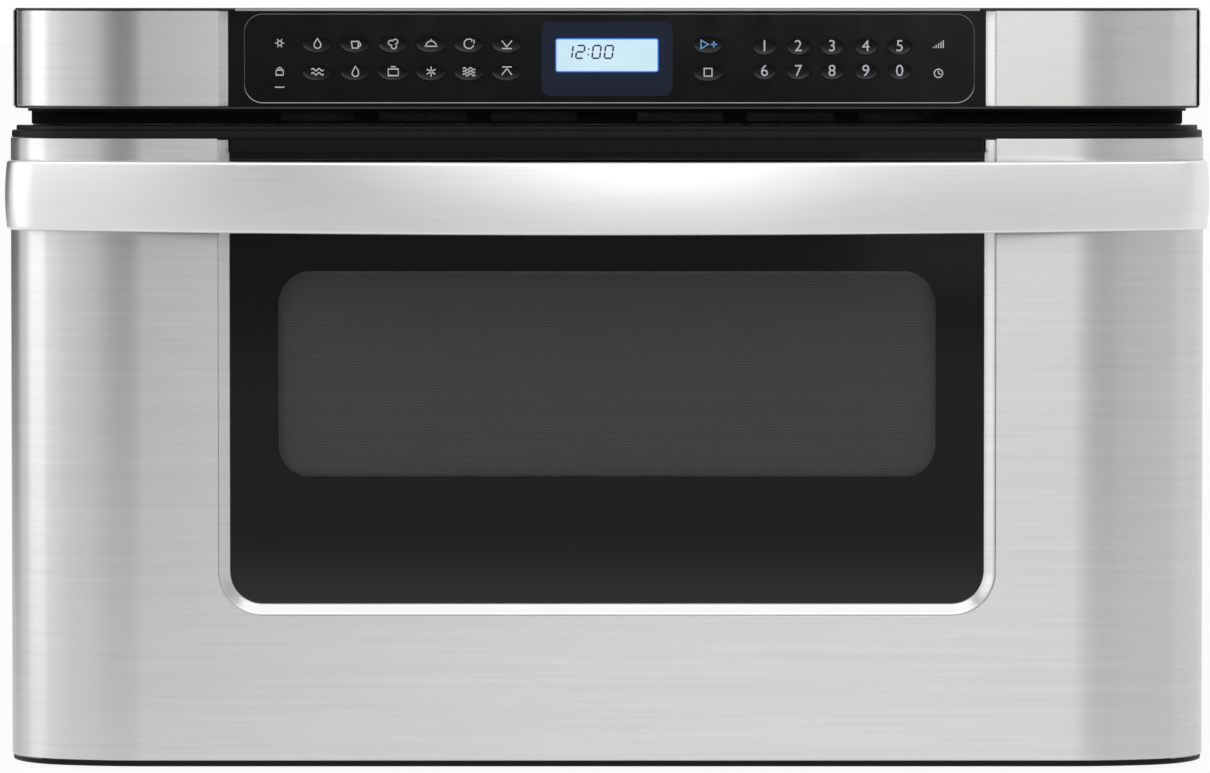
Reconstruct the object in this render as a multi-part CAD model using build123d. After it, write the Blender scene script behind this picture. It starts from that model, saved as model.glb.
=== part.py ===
from build123d import *
import os
from math import asin, atan2, cos, degrees, pi, radians, sin, sqrt, tan

# Microwave drawer for building in under a counter, in millimetres.
# X is to the right, Y runs from the front to the back, Z is up. The origin is at the middle of the
# overall box, on the surface that the chassis stands on.

os.makedirs("parts", exist_ok=True)

# ---------------------------------------------------------------- driving dimensions

# Front, from the floor up
door_width = 606.4
ground_gap = 1.0
lip_height = 2.9
skin_height = 314.8
cap_height = 6.1
vent_gap = 8.6
panel_height = 50.8

# Front, seen from above: flat middle, long bow, tight corner
bow_radius = 130.0
bow_angle = 19.0
corner_radius = 42.0
corner_angle = 56.0
door_depth = 38.0
skin_sheet = 1.2

# Bevelled window
window_width = 382.0
window_rise = 78.8
window_corner = 17.0
bevel_width = 5.0
bevel_depth = 4.0
glass_thickness = 4.0
glass_lap = 5.0
tongue_height = 7.0
view_width = 331.0
view_height = 103.0
view_middle = 198.8
view_corner = 13.6

# Handle
handle_reach = 36.0
handle_height = 37.0
handle_middle = 288.4
handle_drop = 38.0
handle_corner = 22.0
handle_overhang = 2.0
handle_thickness = 9.0
handle_crown = 1.6
handle_end_round = 4.0

# Control panel
panel_inset = 3.2
panel_sheet = 0.8
panel_rim = 1.0
panel_wall = 2.5
face_plate = 2.0
display_width = 66.0
display_height = 37.4
display_corner = 4.0
key_travel = 0.5
key_play = 0.15
key_proud = 0.6
key_slope = 1.4
key_ledge = 0.6
key_flange = 1.0
oval_sides = 10

# Chassis
body_depth = 594.0
chassis_width = 558.0
flange_width = 584.0
chassis_top = 372.0
foot_height = 3.0
sheet = 1.2
gland_reach = 12.0

# Oven and tub
works_depth = 115.5
cavity_width = 444.0
cavity_height = 182.0
cavity_floor = 80.0
cavity_sheet = 1.5
tub_clearance = 8.0
tub_floor_gap = 4.0
tub_back_gap = 20.5
tub_height = 110.0
tub_wall = 3.0
tub_corner = 14.0
tub_rim = 4.0
floor_glass = 4.0
dome_radius = 84.0
dome_height = 24.0

# Slides and drive
travel = 380.0
rail_length = 450.0
rail_height = 45.0
rail_middle = 45.0
rail_sheet = 1.5
rail_play = 0.3
rail_depth = 12.8
rail_spread = 524.0
gear_module = 2.0
pinion_teeth = 12
pressure_angle = 20.0
backlash = 0.3
rack_width = 12.0
rack_pitch_height = 34.0
rack_back = 10.0

# Clearances
seam = 0.3
door_gap = 0.5
shaft_play = 0.05

# ---------------------------------------------------------------- levels and planes

overall_depth = handle_reach + body_depth + gland_reach
face_y = handle_reach - overall_depth / 2
rear_y = face_y + body_depth
glass_y = face_y + bevel_depth
frame_y = glass_y + glass_thickness
door_back = face_y + door_depth
flange_y = door_back + door_gap
cavity_y = flange_y + sheet

skin_bottom = ground_gap + lip_height
skin_top = skin_bottom + skin_height
door_top = skin_top + cap_height
panel_bottom = door_top + vent_gap
panel_top = panel_bottom + panel_height
panel_middle = (panel_bottom + panel_top) / 2
window_bottom = skin_bottom + window_rise
cavity_middle = cavity_floor + cavity_height / 2
cavity_top = cavity_floor + cavity_height
cavity_back = rear_y - works_depth
dome_y = (flange_y + cavity_back) / 2
tub_back = cavity_back - tub_back_gap

bow_run = bow_radius * sin(radians(bow_angle))
corner_run = corner_radius * (sin(radians(bow_angle + corner_angle)) - sin(radians(bow_angle)))
flat_half = door_width / 2 - bow_run - corner_run

# Handle's bow: it falls back by handle_drop from the middle to where its corner begins
handle_half = door_width / 2 + handle_overhang
handle_span = handle_half - handle_corner
handle_radius = handle_corner + (handle_span ** 2 + handle_drop ** 2) / (2 * handle_drop)

plate_y = face_y + panel_inset + bevel_depth
plate_back = plate_y + face_plate
key_back = plate_back + 0.1 + key_flange
board_y = key_back + key_travel + 0.1


# ---------------------------------------------------------------- helpers

def block(x0, x1, y0, y1, z0, z1):
    """Box between two corners."""
    return Pos((x0 + x1) / 2, (y0 + y1) / 2, (z0 + z1) / 2) * Box(x1 - x0, y1 - y0, z1 - z0)


def elevation(outline, y0, y1):
    """Outline drawn from the front (x, z), made solid from y0 back to y1."""
    return extrude(Plane.XZ.offset(-y1) * outline, amount=y1 - y0)


def side_view(outline, x0, x1):
    """Outline drawn from the right-hand side (y, z), made solid from x0 to x1."""
    return extrude(Plane.YZ.offset(x0) * outline, amount=x1 - x0)


def plan(outline, z0, z1):
    """Outline drawn from above (x, y), made solid from z0 up to z1."""
    return extrude(Pos(0, 0, z0) * outline, amount=z1 - z0)


def faceted(radius, sides, x=0.0, y=0.0):
    """Regular polygon, for round pieces that are hidden."""
    return Pos(x, y) * RegularPolygon(radius, sides, rotation=180 / sides)


def rounded(width, height, radius, x=0.0, z=0.0):
    """Rounded rectangle centred on x, z."""
    return Pos(x, z) * RectangleRounded(width, height, radius)


def mirrored(solid):
    """The solid and its mirror image across the middle of the drawer, as one."""
    return solid + mirror(solid, about=Plane.YZ)


def pair(solid):
    """The solid and its mirror image, as two separate pieces."""
    return Compound(children=[solid, mirror(solid, about=Plane.YZ)])


def save(name, shape):
    """Write one piece to its file."""
    export_step(shape, "parts/" + name + ".step")


# ---------------------------------------------------------------- the front's outline from above

def front_outline(inset, back_y):
    """Front's outline from above, moved inward by inset and cut off at back_y."""
    middle = (flat_half, face_y + bow_radius)
    swing = radians(bow_angle)
    step = bow_radius - corner_radius
    corner_middle = (middle[0] + step * sin(swing), middle[1] - step * cos(swing))
    bow = CenterArc(middle, bow_radius - inset, 270, bow_angle)
    corner = CenterArc(corner_middle, corner_radius - inset, 270 + bow_angle, corner_angle)
    start = (0, face_y + inset)
    back = (0, face_y + 2 * door_depth)
    side = ((corner @ 1).X, back[1])
    lines = [Line(start, bow @ 0), bow, corner, Line(corner @ 1, side), Line(side, back), Line(back, start)]
    half = make_face(Wire(lines))
    kept = Pos(0, (face_y - 1 + back_y) / 2) * Rectangle(2 * door_width, back_y - face_y + 1)
    return (half + mirror(half, about=Plane.YZ)) & kept


def front_solid(inset, back_y, z0, z1):
    """Solid with the front's outline."""
    return plan(front_outline(inset, back_y), z0, z1)


def front_shell(inset, wall, back_y, z0, z1):
    """Sheet that follows the front's outline, open at the back."""
    return front_solid(inset, back_y, z0, z1) - front_solid(inset + wall, back_y + wall, z0 - 1, z1 + 1)


# ---------------------------------------------------------------- door

def window_face(grow):
    """The glass opening from the front, open at the top of the skin, grown by grow on three sides."""
    half = window_width / 2 + grow
    low = window_bottom - grow
    high = skin_top + 20
    radius = window_corner + grow
    box = Pos(0, (low + high) / 2) * Rectangle(2 * half, high - low)
    return fillet(box.vertices().group_by(Axis.Y)[0], radius)


def window_funnel(grow):
    """The bevelled opening: wide at the face, narrow at the glass."""
    wide = Plane.XZ.offset(-face_y) * window_face(bevel_width + grow)
    narrow = Plane.XZ.offset(-glass_y) * window_face(grow)
    return loft([wide, narrow], ruled=True)


def make_door_skin():
    skin = front_shell(0, skin_sheet, door_back, skin_bottom, skin_top)
    bevel = window_funnel(skin_sheet) & block(-door_width, door_width, face_y, glass_y, skin_bottom, skin_top)
    return skin + bevel - window_funnel(0)


def make_door_glass():
    half = window_width / 2 + glass_lap
    low = window_bottom - glass_lap
    high = skin_top - seam
    pane = Pos(0, (low + high) / 2) * Rectangle(2 * half, high - low)
    pane = fillet(pane.vertices().group_by(Axis.Y)[0], window_corner + glass_lap)
    return elevation(pane, glass_y, frame_y)


frame_lap = 16.0
frame_recess = 4.0
frame_sheet = 1.5
frame_half = flat_half + frame_lap
frame_back = door_back - frame_recess


def make_door_frame():
    """Pressed pan behind the glass: box section open at the back, with a rear flange to the skin."""
    pan = block(-frame_half, frame_half, frame_y, frame_back, skin_bottom, skin_top)
    inside = block(-frame_half + frame_sheet, frame_half - frame_sheet, frame_y + frame_sheet,
                   frame_back + 1, skin_bottom + frame_sheet, skin_top - frame_sheet)
    rear = front_solid(skin_sheet, door_back, skin_bottom, skin_top)
    slab = block(-door_width, door_width, frame_back - frame_sheet, frame_back, skin_bottom, skin_top)
    ears = (rear & slab) - block(-frame_half, frame_half, frame_y, door_back, 0, door_top)
    view = elevation(rounded(view_width, view_height, view_corner, 0, view_middle), frame_y - 1, frame_back)
    return pan - inside + ears - view


screen_lap = 8.0
screen_sheet = 0.8


def make_door_screen():
    """Screen plate, its middle pressed forward into the frame's window."""
    outer = Pos(0, view_middle) * Rectangle(view_width + 2 * screen_lap, view_height + 2 * screen_lap)
    step = rounded(view_width - 2 * seam, view_height - 2 * seam, view_corner, 0, view_middle)
    hollow = rounded(view_width - 2 * screen_sheet - 2 * seam, view_height - 2 * screen_sheet - 2 * seam,
                     view_corner - screen_sheet, 0, view_middle)
    flat_y = frame_y + frame_sheet
    tray = elevation(outer, flat_y, flat_y + screen_sheet) + elevation(step, frame_y + seam, flat_y)
    return tray - elevation(hollow, frame_y + seam + screen_sheet, flat_y + 2)


liner_inset = 6.0
liner_corner = 8.0
liner_view_lap = 6.0
choke_inner = 15.0
choke_outer = 28.0
choke_depth = 1.5
hook_x = 265.0
hook_z = 160.0
hook_reach = 24.0
hook_height = 14.0
hook_width = 6.0
barb_length = 10.0
barb_drop = 6.0


def make_door_liner():
    """Moulded inner side of the door: window opening, choke groove and two latch hooks."""
    outline = rounded(door_width - 2 * liner_inset, skin_height - 4, liner_corner, 0,
                      skin_bottom + skin_height / 2)
    liner = elevation(outline, frame_back, door_back)
    view = rounded(view_width + 2 * liner_view_lap, view_height + 2 * liner_view_lap,
                   view_corner + liner_view_lap, 0, view_middle)
    liner -= elevation(view, frame_back - 1, door_back + 1)
    middle = Pos(0, cavity_middle)
    ring = middle * Rectangle(cavity_width + 2 * choke_outer, cavity_height + 2 * choke_outer)
    ring -= middle * Rectangle(cavity_width + 2 * choke_inner, cavity_height + 2 * choke_inner)
    liner -= elevation(ring, door_back - choke_depth, door_back)
    near = hook_x - hook_width / 2
    far = hook_x + hook_width / 2
    tip = door_back + hook_reach
    arm = block(near, far, door_back, tip, hook_z, hook_z + hook_height)
    barb = Polyline((tip - barb_length, hook_z), (tip, hook_z), (tip - barb_length + 2, hook_z - barb_drop),
                    (tip - barb_length, hook_z - barb_drop), close=True)
    return liner + mirrored(arm + side_view(make_face(barb), near, far))


cap_inset = 0.6
cap_step = 0.6 * cap_height
ledge_inset = 3.0
tongue_inset = 1.5
lip_chamfer = 1.2


def make_door_top_cap():
    """Black cap: a step below, a narrower ledge above, and a tongue over the glass's top edge."""
    cap = front_solid(cap_inset, door_back, skin_top, skin_top + cap_step)
    cap += front_solid(ledge_inset, door_back, skin_top + cap_step, door_top)
    half = window_width / 2 - seam
    return cap + block(-half, half, face_y + tongue_inset, glass_y, skin_top - tongue_height, skin_top)


def make_door_bottom_lip():
    lip = front_solid(cap_inset, door_back, ground_gap, skin_bottom)
    low_front = lip.edges().group_by(Axis.Z)[0].filter_by(lambda e: e.center().Y < door_back - 1)
    return chamfer(low_front, lip_chamfer)


# ---------------------------------------------------------------- handle

def make_handle():
    """Bent bar with a crowned face: one long bow, and a tight corner back along each side of the door."""
    front = face_y - handle_reach
    step = handle_radius - handle_corner
    swing = asin(handle_span / step)
    corner_middle = (handle_span, front + handle_radius - step * cos(swing))
    bow = CenterArc((0, front + handle_radius), handle_radius, 270, degrees(swing))
    corner = CenterArc(corner_middle, handle_corner, 270 + degrees(swing), 90 - degrees(swing))
    tail = Line(corner @ 1, (handle_half, door_back - 1))
    top = handle_height / 2
    crown = [(handle_crown * share ** 2, top * share) for share in (1, 0.5, 0, -0.5, -1)]
    section = Polyline((handle_thickness, top), *crown, (handle_thickness, -top), close=True)
    start = Plane(origin=(0, front, 0), x_dir=(0, 1, 0), z_dir=(1, 0, 0))
    half = sweep(start * make_face(section), path=Wire([bow, corner, tail]))
    bar = Pos(0, 0, handle_middle) * mirrored(half)
    ends = elevation(rounded(2 * handle_half, handle_height, handle_end_round, 0, handle_middle),
                     front - 1, door_back + 1)
    return (bar & ends) - front_solid(-seam / 2, door_back + 1, 0, door_top)


# ---------------------------------------------------------------- control panel

trim_edge = window_width / 2
rim_proud = 0.8
rim_inset = panel_inset - rim_proud
port_half = 150.0
port_bottom = panel_bottom + 8
port_top = chassis_top - 4
key_field_edge = 10.0
key_field_height = 40.0


def make_panel_trims():
    """Two steel wings with the bevel that runs on from the door's window."""
    low = panel_bottom + panel_rim
    high = panel_top - panel_rim
    wing = front_shell(panel_inset, panel_sheet, door_back - 4, low, high)
    wing &= block(trim_edge + bevel_width, door_width, face_y, door_back, low, high)
    front = face_y + panel_inset
    bevel = Polyline((trim_edge + bevel_width, front), (trim_edge, plate_y), (trim_edge + panel_sheet, plate_y),
                     (trim_edge + bevel_width, front + panel_sheet), close=True)
    return pair(wing + plan(make_face(bevel), low, high))


def make_control_housing():
    """Black moulding behind the wings and the face plate, with a thin rim above and below."""
    inset = panel_inset + panel_sheet
    body = front_solid(inset, flange_y, panel_bottom, panel_top)
    body += front_solid(rim_inset, door_back, panel_bottom, panel_bottom + panel_rim)
    body += front_solid(rim_inset, door_back, panel_top - panel_rim, panel_top)
    hollow = front_solid(inset + panel_wall, flange_y - panel_wall, panel_bottom + panel_wall,
                         panel_top - panel_wall)
    port = block(-port_half, port_half, door_back - panel_wall - 1, flange_y + 1, port_bottom, port_top)
    mouth = trim_edge + bevel_width
    throat = trim_edge + panel_sheet
    right = [(throat, plate_back), (throat, plate_y), (mouth, face_y + inset), (mouth, face_y)]
    left = [(-x, y) for x, y in reversed(right)]
    recess = make_face(Polyline(*left, *right, close=True))
    recess = plan(recess, panel_bottom + panel_rim, panel_top - panel_rim)
    backing = block(-trim_edge - 8, trim_edge + 8, plate_back, board_y, panel_bottom, panel_top)
    field = block(key_field_edge - trim_edge, trim_edge - key_field_edge, plate_back - 1, board_y + 1,
                  panel_middle - key_field_height / 2, panel_middle + key_field_height / 2)
    return (body - hollow) + backing - recess - field - port


# Key blocks: the program keys fill the way from the left trim to the display, and the command and
# number keys the way from the display to the right trim
program_columns = 6
number_columns = 5
program_margin = 45.0
program_gap = 17.5
command_gap = 18.0
number_gap = 28.4
number_margin = 43.4
wide_key_gap = 3.7
number_key_gap = 4.65
program_start = program_margin - trim_edge
program_pitch = (-display_width / 2 - program_gap - program_start) / (program_columns - 1)
command_x = display_width / 2 + command_gap
number_start = command_x + number_gap
number_pitch = (trim_edge - number_margin - number_start) / (number_columns - 1)
program_row = 7.4
command_row = 7.1
row_pitch = 14.1
number_row = 6.1
number_row_pitch = 12.5
wide_key = ((program_pitch - wide_key_gap) / 2, 4.5)
number_key = ((number_pitch - number_key_gap) / 2, 4.3)

# Each key as (name, x, z, (half width, half height))
keys = []
for column in range(program_columns):
    for row in range(2):
        name = "program_key_" + str(2 * column + row + 1)
        x = program_start + column * program_pitch
        keys.append((name, x, panel_middle + program_row - row * row_pitch, wide_key))
for row, name in enumerate(["start_key", "stop_key"]):
    keys.append((name, command_x, panel_middle + command_row - row * row_pitch, wide_key))
for digit in range(10):
    place = (digit - 1) % 10
    x = number_start + (place % number_columns) * number_pitch
    z = panel_middle + number_row - (place // number_columns) * number_row_pitch
    keys.append(("number_key_" + str(digit), x, z, number_key))


def oval(half_width, half_height, x, z):
    """Key outline with oval_sides short sides."""
    turns = [2 * pi * side / oval_sides for side in range(oval_sides)]
    points = [(x + half_width * cos(turn), z + half_height * sin(turn)) for turn in turns]
    return make_face(Polyline(*points, close=True))


def make_panel_face():
    """Gloss face plate with an oval hole for each key and the display's window."""
    outline = Rectangle(2 * trim_edge - 2 * seam, panel_height - 2 * panel_rim - 0.4)
    plate = elevation(Pos(0, panel_middle) * outline, plate_y, plate_back)
    plate -= elevation(rounded(display_width, display_height, display_corner, 0, panel_middle),
                       plate_y - 1, plate_back + 1)
    for name, x, z, size in keys:
        hole = oval(size[0] + key_play, size[1] + key_play, x, z)
        plate -= elevation(hole, plate_y - 1, plate_back + 1)
    return plate


def make_key(x, z, size):
    """Oval key: low domed top, straight sides through the plate, retaining flange behind it."""
    body = elevation(oval(*size, x, z), plate_y - key_proud, key_back)
    body = chamfer(body.edges().group_by(Axis.Y)[0], key_proud, key_slope)
    flange = Pos(x, z) * Rectangle(2 * size[0] + 2 * key_ledge, 2 * size[1] + 2 * key_ledge)
    return body + elevation(flange, key_back - key_flange, key_back)


def make_display_window():
    pane = rounded(display_width - 0.2, display_height - 0.2, display_corner, 0, panel_middle)
    return elevation(pane, plate_y + 0.2, plate_back + 0.1)


board_sheet = 1.6
board_height = 43.0
board_edge = 4.0
part_edge = 41.0
relay_pitch = 22.0
plug_pitch = 30.0


def make_control_board():
    """Circuit board with the display module in front and relays, transformer and plugs behind."""
    half = trim_edge - board_edge
    back = board_y + board_sheet
    rise = board_height / 2
    board = block(-half, half, board_y, back, panel_middle - rise, panel_middle + rise)
    board += block(-30, 30, plate_back + 0.1, board_y, panel_middle - 14, panel_middle + 16)
    for place in range(3):
        x = part_edge - trim_edge + relay_pitch * place
        board += block(x, x + 15, back, back + 14, panel_middle - 8, panel_middle + 8)
    board += block(-60, -28, back, back + 18, panel_middle - 14, panel_middle + 14)
    for place in range(4):
        x = trim_edge - part_edge - plug_pitch * place
        board += block(x, x + 22, back, back + 8, panel_middle - 17, panel_middle - 10)
    return board


rib_places = (0.0, 65.0, 122.0, 172.0)
rib_half = 6.0
middle_rib_half = 15.5
louvre_bottom = door_top + 0.6
louvre_half = 288.0
louvre_inset = 26.0
ledge_sheet = 1.6
vent_ledge_inset = 9.0


def make_vent_louvre():
    """Exhaust louvre over the door: a ledge under the panel, a set-back wall with slots, ribs between."""
    ledge_bottom = panel_bottom - ledge_sheet
    wall_y = face_y + louvre_inset
    louvre = front_solid(vent_ledge_inset, flange_y, ledge_bottom, panel_bottom)
    louvre += block(-louvre_half, louvre_half, wall_y, flange_y, louvre_bottom, ledge_bottom)
    for near, far in zip(rib_places, rib_places[1:]):
        start = near + (middle_rib_half if near == 0 else rib_half)
        slot = block(start, far - rib_half, wall_y - 1, flange_y + 1, louvre_bottom + 1, ledge_bottom - 0.6)
        louvre -= mirrored(slot)
    return louvre


# ---------------------------------------------------------------- chassis

half_chassis = chassis_width / 2
rail_back = rail_spread / 2
screw_margin = 6.0
screw_x = flange_width / 2 - screw_margin
screw_z = (40.0, 330.0)
screw_radius = 2.4
foot_radius = 13.0
foot_margin = 40.0
slot_length = 60.0
slot_height = 6.0


def make_front_flange():
    """Front frame: cavity mouth, opening for slides and rack, hook slots, vent slots, screw holes."""
    plate = block(-flange_width / 2, flange_width / 2, flange_y, cavity_y, foot_height, chassis_top)
    mouth = Pos(0, cavity_middle) * Rectangle(cavity_width, cavity_height)
    plate -= elevation(mouth, flange_y - 1, cavity_y + 1)
    plate -= block(-rail_back - 4, rail_back + 4, flange_y - 1, cavity_y + 1, rail_middle - 33,
                   rail_middle + 28)
    vent_half = rib_places[-1] - 2
    plate -= block(-vent_half, vent_half, flange_y - 1, cavity_y + 1, louvre_bottom + 1, panel_bottom - 2)
    plate -= block(-port_half, port_half, flange_y - 1, cavity_y + 1, port_bottom, port_top)
    slot = block(hook_x - hook_width / 2 - 2, hook_x + hook_width / 2 + 2, flange_y - 1, cavity_y + 1,
                 hook_z - barb_drop - 3, hook_z + hook_height + 3)
    plate -= mirrored(slot)
    for x in (-screw_x, screw_x):
        for z in screw_z:
            plate -= elevation(Pos(x, z) * Circle(screw_radius), flange_y - 1, cavity_y + 1)
    return plate


def make_base_pan():
    """Base with turned-up edges, pressed feet, air slots and the two upright slide supports."""
    top = foot_height + sheet
    back = rear_y - sheet
    half = half_chassis - sheet
    pan = block(-half, half, cavity_y, back, foot_height, top)
    side = block(half - sheet, half, cavity_y, back, foot_height, top + 10)
    near = cavity_y + 3
    far = cavity_y + rail_length
    support = block(rail_back, rail_back + 2, near, far, foot_height, rail_middle + 26)
    support += block(rail_back, half, near, far, foot_height, top)
    pan += mirrored(side) + mirrored(support)
    for x in (foot_margin - half, half - foot_margin):
        for y in (cavity_y + 60, back - 50):
            pan += plan(faceted(foot_radius, 8, x, y), 0, foot_height)
    for row in range(6):
        y = back - 110 + 14 * row
        pan -= block(-150, slot_length - 150, y, y + slot_height, foot_height - 1, top + 1)
    return pan


def make_outer_wrap():
    """Top and two sides in one folded sheet, with exhaust slots in the top."""
    outer = block(-half_chassis, half_chassis, cavity_y, rear_y, foot_height, chassis_top)
    half = half_chassis - sheet
    inner = block(-half, half, cavity_y - 1, rear_y + 1, 0, chassis_top - sheet)
    wrap = outer - inner
    for row in range(3):
        for place in range(5):
            x = (place - 2.5) * (slot_length + 20)
            y = rear_y - 120 + row * 22
            wrap -= block(x, x + slot_length, y, y + slot_height, chassis_top - 5, chassis_top + 1)
    return wrap


fan_x = -170.0
fan_z = 200.0
fan_radius = 54.0
gland_x = 225.0
gland_z = 40.0
gland_radius = 9.0
gland_sides = 12
gland_nut = 6.0
gland_cone = 9.0
lead_radius = 4.0


def make_rear_panel():
    half = half_chassis - sheet
    panel = block(-half, half, rear_y - sheet, rear_y, foot_height, chassis_top - sheet)
    for row in range(7):
        z = fan_z - 42 + row * 13
        wide = sqrt(fan_radius ** 2 - (z + slot_height / 2 - fan_z) ** 2)
        panel -= block(fan_x - wide, fan_x + wide, rear_y - 5, rear_y + 1, z, z + slot_height)
    return panel - elevation(faceted(gland_radius, gland_sides, gland_x, gland_z), rear_y - 5, rear_y + 1)


def make_cord_gland():
    """Moulded gland in the rear panel: shank through the hole, hexagonal nut inside, tapered nose."""
    shank = elevation(faceted(gland_radius, gland_sides, gland_x, gland_z), rear_y - sheet, rear_y)
    nut_back = rear_y - sheet
    nut = elevation(faceted(gland_radius + 5, 6, gland_x, gland_z), nut_back - gland_nut, nut_back)
    nose = elevation(faceted(gland_radius + 4, gland_sides, gland_x, gland_z), rear_y, rear_y + gland_reach)
    nose = chamfer(nose.edges().group_by(Axis.Y)[-1], gland_cone, 4)
    bore = elevation(Pos(gland_x, gland_z) * Circle(lead_radius), rear_y - 20, rear_y + gland_reach + 1)
    return shank + nut + nose - bore


seal_side = 28.0
seal_rise = 8.0
dome_sides = 16
cover_lap = 8.0
cover_chamfer = 12.0
guide_half = 40.0
magnetron_x = 70.0
magnetron_y = cavity_back + 42.0
guide_near = magnetron_x - guide_half
guide_far = magnetron_x + guide_half
guide_back = magnetron_y + guide_half - 2


def make_oven_cavity():
    """Welded box with a sealing flange, the stirrer dome in its roof and the wave guide behind it."""
    wall = cavity_sheet
    middle = Pos(0, cavity_middle)
    outer = elevation(middle * Rectangle(cavity_width + 2 * wall, cavity_height + 2 * wall), cavity_y,
                      cavity_back + wall)
    inner = elevation(middle * Rectangle(cavity_width, cavity_height), cavity_y - 1, cavity_back)
    flange = elevation(middle * Rectangle(cavity_width + 2 * seal_side, cavity_height + 2 * seal_rise),
                       cavity_y, cavity_y + wall)
    dome_top = cavity_top + dome_height
    dome = plan(faceted(dome_radius, dome_sides, 0, dome_y), cavity_top, dome_top)
    hollow = plan(faceted(dome_radius - wall, dome_sides, 0, dome_y), cavity_top - wall, dome_top - wall)
    shaft = Pos(0, dome_y, dome_top) * Cylinder(6, 10)
    guide = block(guide_near, guide_far, dome_y + 40, guide_back, cavity_top + wall, dome_top)
    duct = block(guide_near + wall, guide_far - wall, dome_y + 30, guide_back - wall, cavity_top + 2 * wall,
                 dome_top - wall)
    return outer + flange + dome + guide - inner - hollow - duct - shaft


def make_stirrer_cover():
    """Clear-to-microwaves cover under the stirrer dome."""
    side = 2 * dome_radius + 2 * cover_lap
    sheet_outline = Rectangle(side, side)
    sheet_outline = chamfer(sheet_outline.vertices(), cover_chamfer)
    return plan(Pos(0, dome_y) * sheet_outline, cavity_top - cavity_sheet - 0.1, cavity_top)


stirrer_shaft = 3.0
stirrer_lift = 9.0
blade_twist = 14.0
blade_sheet = 1.2


def make_stirrer():
    """Flat pressed stirrer with four twisted blades and its shaft."""
    z = cavity_top + stirrer_lift
    fan = plan(faceted(16, 10, 0, dome_y), z - blade_sheet / 2, z + blade_sheet / 2)
    for turn in range(4):
        blade = Pos(44, 0, 0) * Rot(blade_twist, 0, 0) * Box(60, 30, blade_sheet)
        fan += Pos(0, dome_y, z) * Rot(0, 0, 90 * turn) * blade
    shaft_top = cavity_top + dome_height + 14
    shaft = Pos(0, dome_y, (z + shaft_top) / 2) * Cylinder(stirrer_shaft, shaft_top - z)
    return fan + shaft


def make_stirrer_motor():
    """Small gear motor on top of the dome, with two fixing ears."""
    low = cavity_top + dome_height
    motor = plan(faceted(24, 12, 0, dome_y), low, low + 18)
    motor += Pos(0, dome_y, low + 0.6) * Box(66, 14, 1.2)
    bore = Pos(0, dome_y, low + 8) * Cylinder(stirrer_shaft + shaft_play, 16.2)
    return motor - bore


def make_magnetron():
    """Magnetron under the wave guide: open frame, cooling fins round the anode, filter box below."""
    half_x, half_y, height = 38.0, 32.0, 92.0
    frame_sheet = 1.5
    fins = 5
    top = cavity_top + cavity_sheet
    low = top - height
    frame = block(magnetron_x - half_x, magnetron_x + half_x, magnetron_y - half_y, magnetron_y + half_y,
                  low, top)
    frame -= block(magnetron_x - half_x + frame_sheet, magnetron_x + half_x - frame_sheet,
                   magnetron_y - half_y - 1, magnetron_y + half_y + 1, low + frame_sheet, top - frame_sheet)
    tube = plan(faceted(19, 8, magnetron_x, magnetron_y), low, top)
    for fin in range(fins):
        z = low + (fin + 1) * height / (fins + 1)
        tube += block(magnetron_x - half_x + 1, magnetron_x + half_x - 1, magnetron_y - half_y + 2,
                      magnetron_y + half_y - 2, z, z + 0.8)
    box = block(magnetron_x - 30, magnetron_x + 30, magnetron_y - 28, magnetron_y + 28, low - 26, low)
    return frame + tube + box


def make_transformer():
    """High-voltage transformer: laminated core, two windings and a foot plate on the base."""
    low = foot_height + sheet + 2
    x = half_chassis - 114
    y = rear_y - 70
    core = block(x - 45, x + 45, y - 30, y + 30, low, low + 78)
    for side in (-22, 22):
        core -= block(x + side - 9, x + side + 9, y - 31, y + 31, low + 16, low + 62)
    primary = block(x - 30, x + 30, y - 40, y + 40, low + 17, low + 38)
    secondary = block(x - 30, x + 30, y - 38, y + 38, low + 40, low + 61)
    foot = block(x - 52, x + 52, y - 40, y + 40, low - 2, low)
    return core + primary + secondary + foot


fan_y = rear_y - 34.0
fan_shaft = 2.5
fan_pitch = 28.0
hub_radius = 15.0


def make_cooling_fan():
    """Axial fan: hub and five cambered blades on a short shaft."""
    hub = elevation(faceted(hub_radius, 10), -10, 10)
    chord, camber, thickness = 30.0, 4.0, 1.4
    line = [(-chord / 2, 0), (-chord / 6, camber), (chord / 6, camber), (chord / 2, 0)]
    line += [(x, z - thickness) for x, z in reversed(line)]
    blade = extrude(Plane.YZ * make_face(Polyline(*line, close=True)), amount=fan_radius - hub_radius - 1)
    blade = Pos(hub_radius - 2, 0, 0) * Rot(90 - fan_pitch, 0, 0) * blade
    fan = hub
    for turn in range(5):
        fan += Rot(0, 72 * turn, 0) * blade
    shaft = Pos(0, -20, 0) * Rot(90, 0, 0) * Cylinder(fan_shaft, 26)
    return Pos(fan_x, fan_y, fan_z) * (fan + shaft)


def make_fan_shroud():
    """Square shroud screwed to the rear panel, with a four-armed spider and the motor."""
    place = Pos(fan_x, fan_z)
    side = 2 * fan_radius + 20
    front = fan_y - 20
    back = rear_y - sheet
    shroud = elevation(place * Rectangle(side, side), front, back)
    shroud -= elevation(faceted(fan_radius + 4, 16, fan_x, fan_z), front - 1, back + 1)
    arms = block(fan_x - side / 2, fan_x + side / 2, front - 3, front, fan_z - 4, fan_z + 4)
    arms += block(fan_x - 4, fan_x + 4, front - 3, front, fan_z - side / 2, fan_z + side / 2)
    motor = elevation(faceted(21, 8, fan_x, fan_z), front - 32, front)
    bore = elevation(place * Circle(fan_shaft + shaft_play), front - 14, front + 1)
    return shroud + arms + motor - bore


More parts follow.
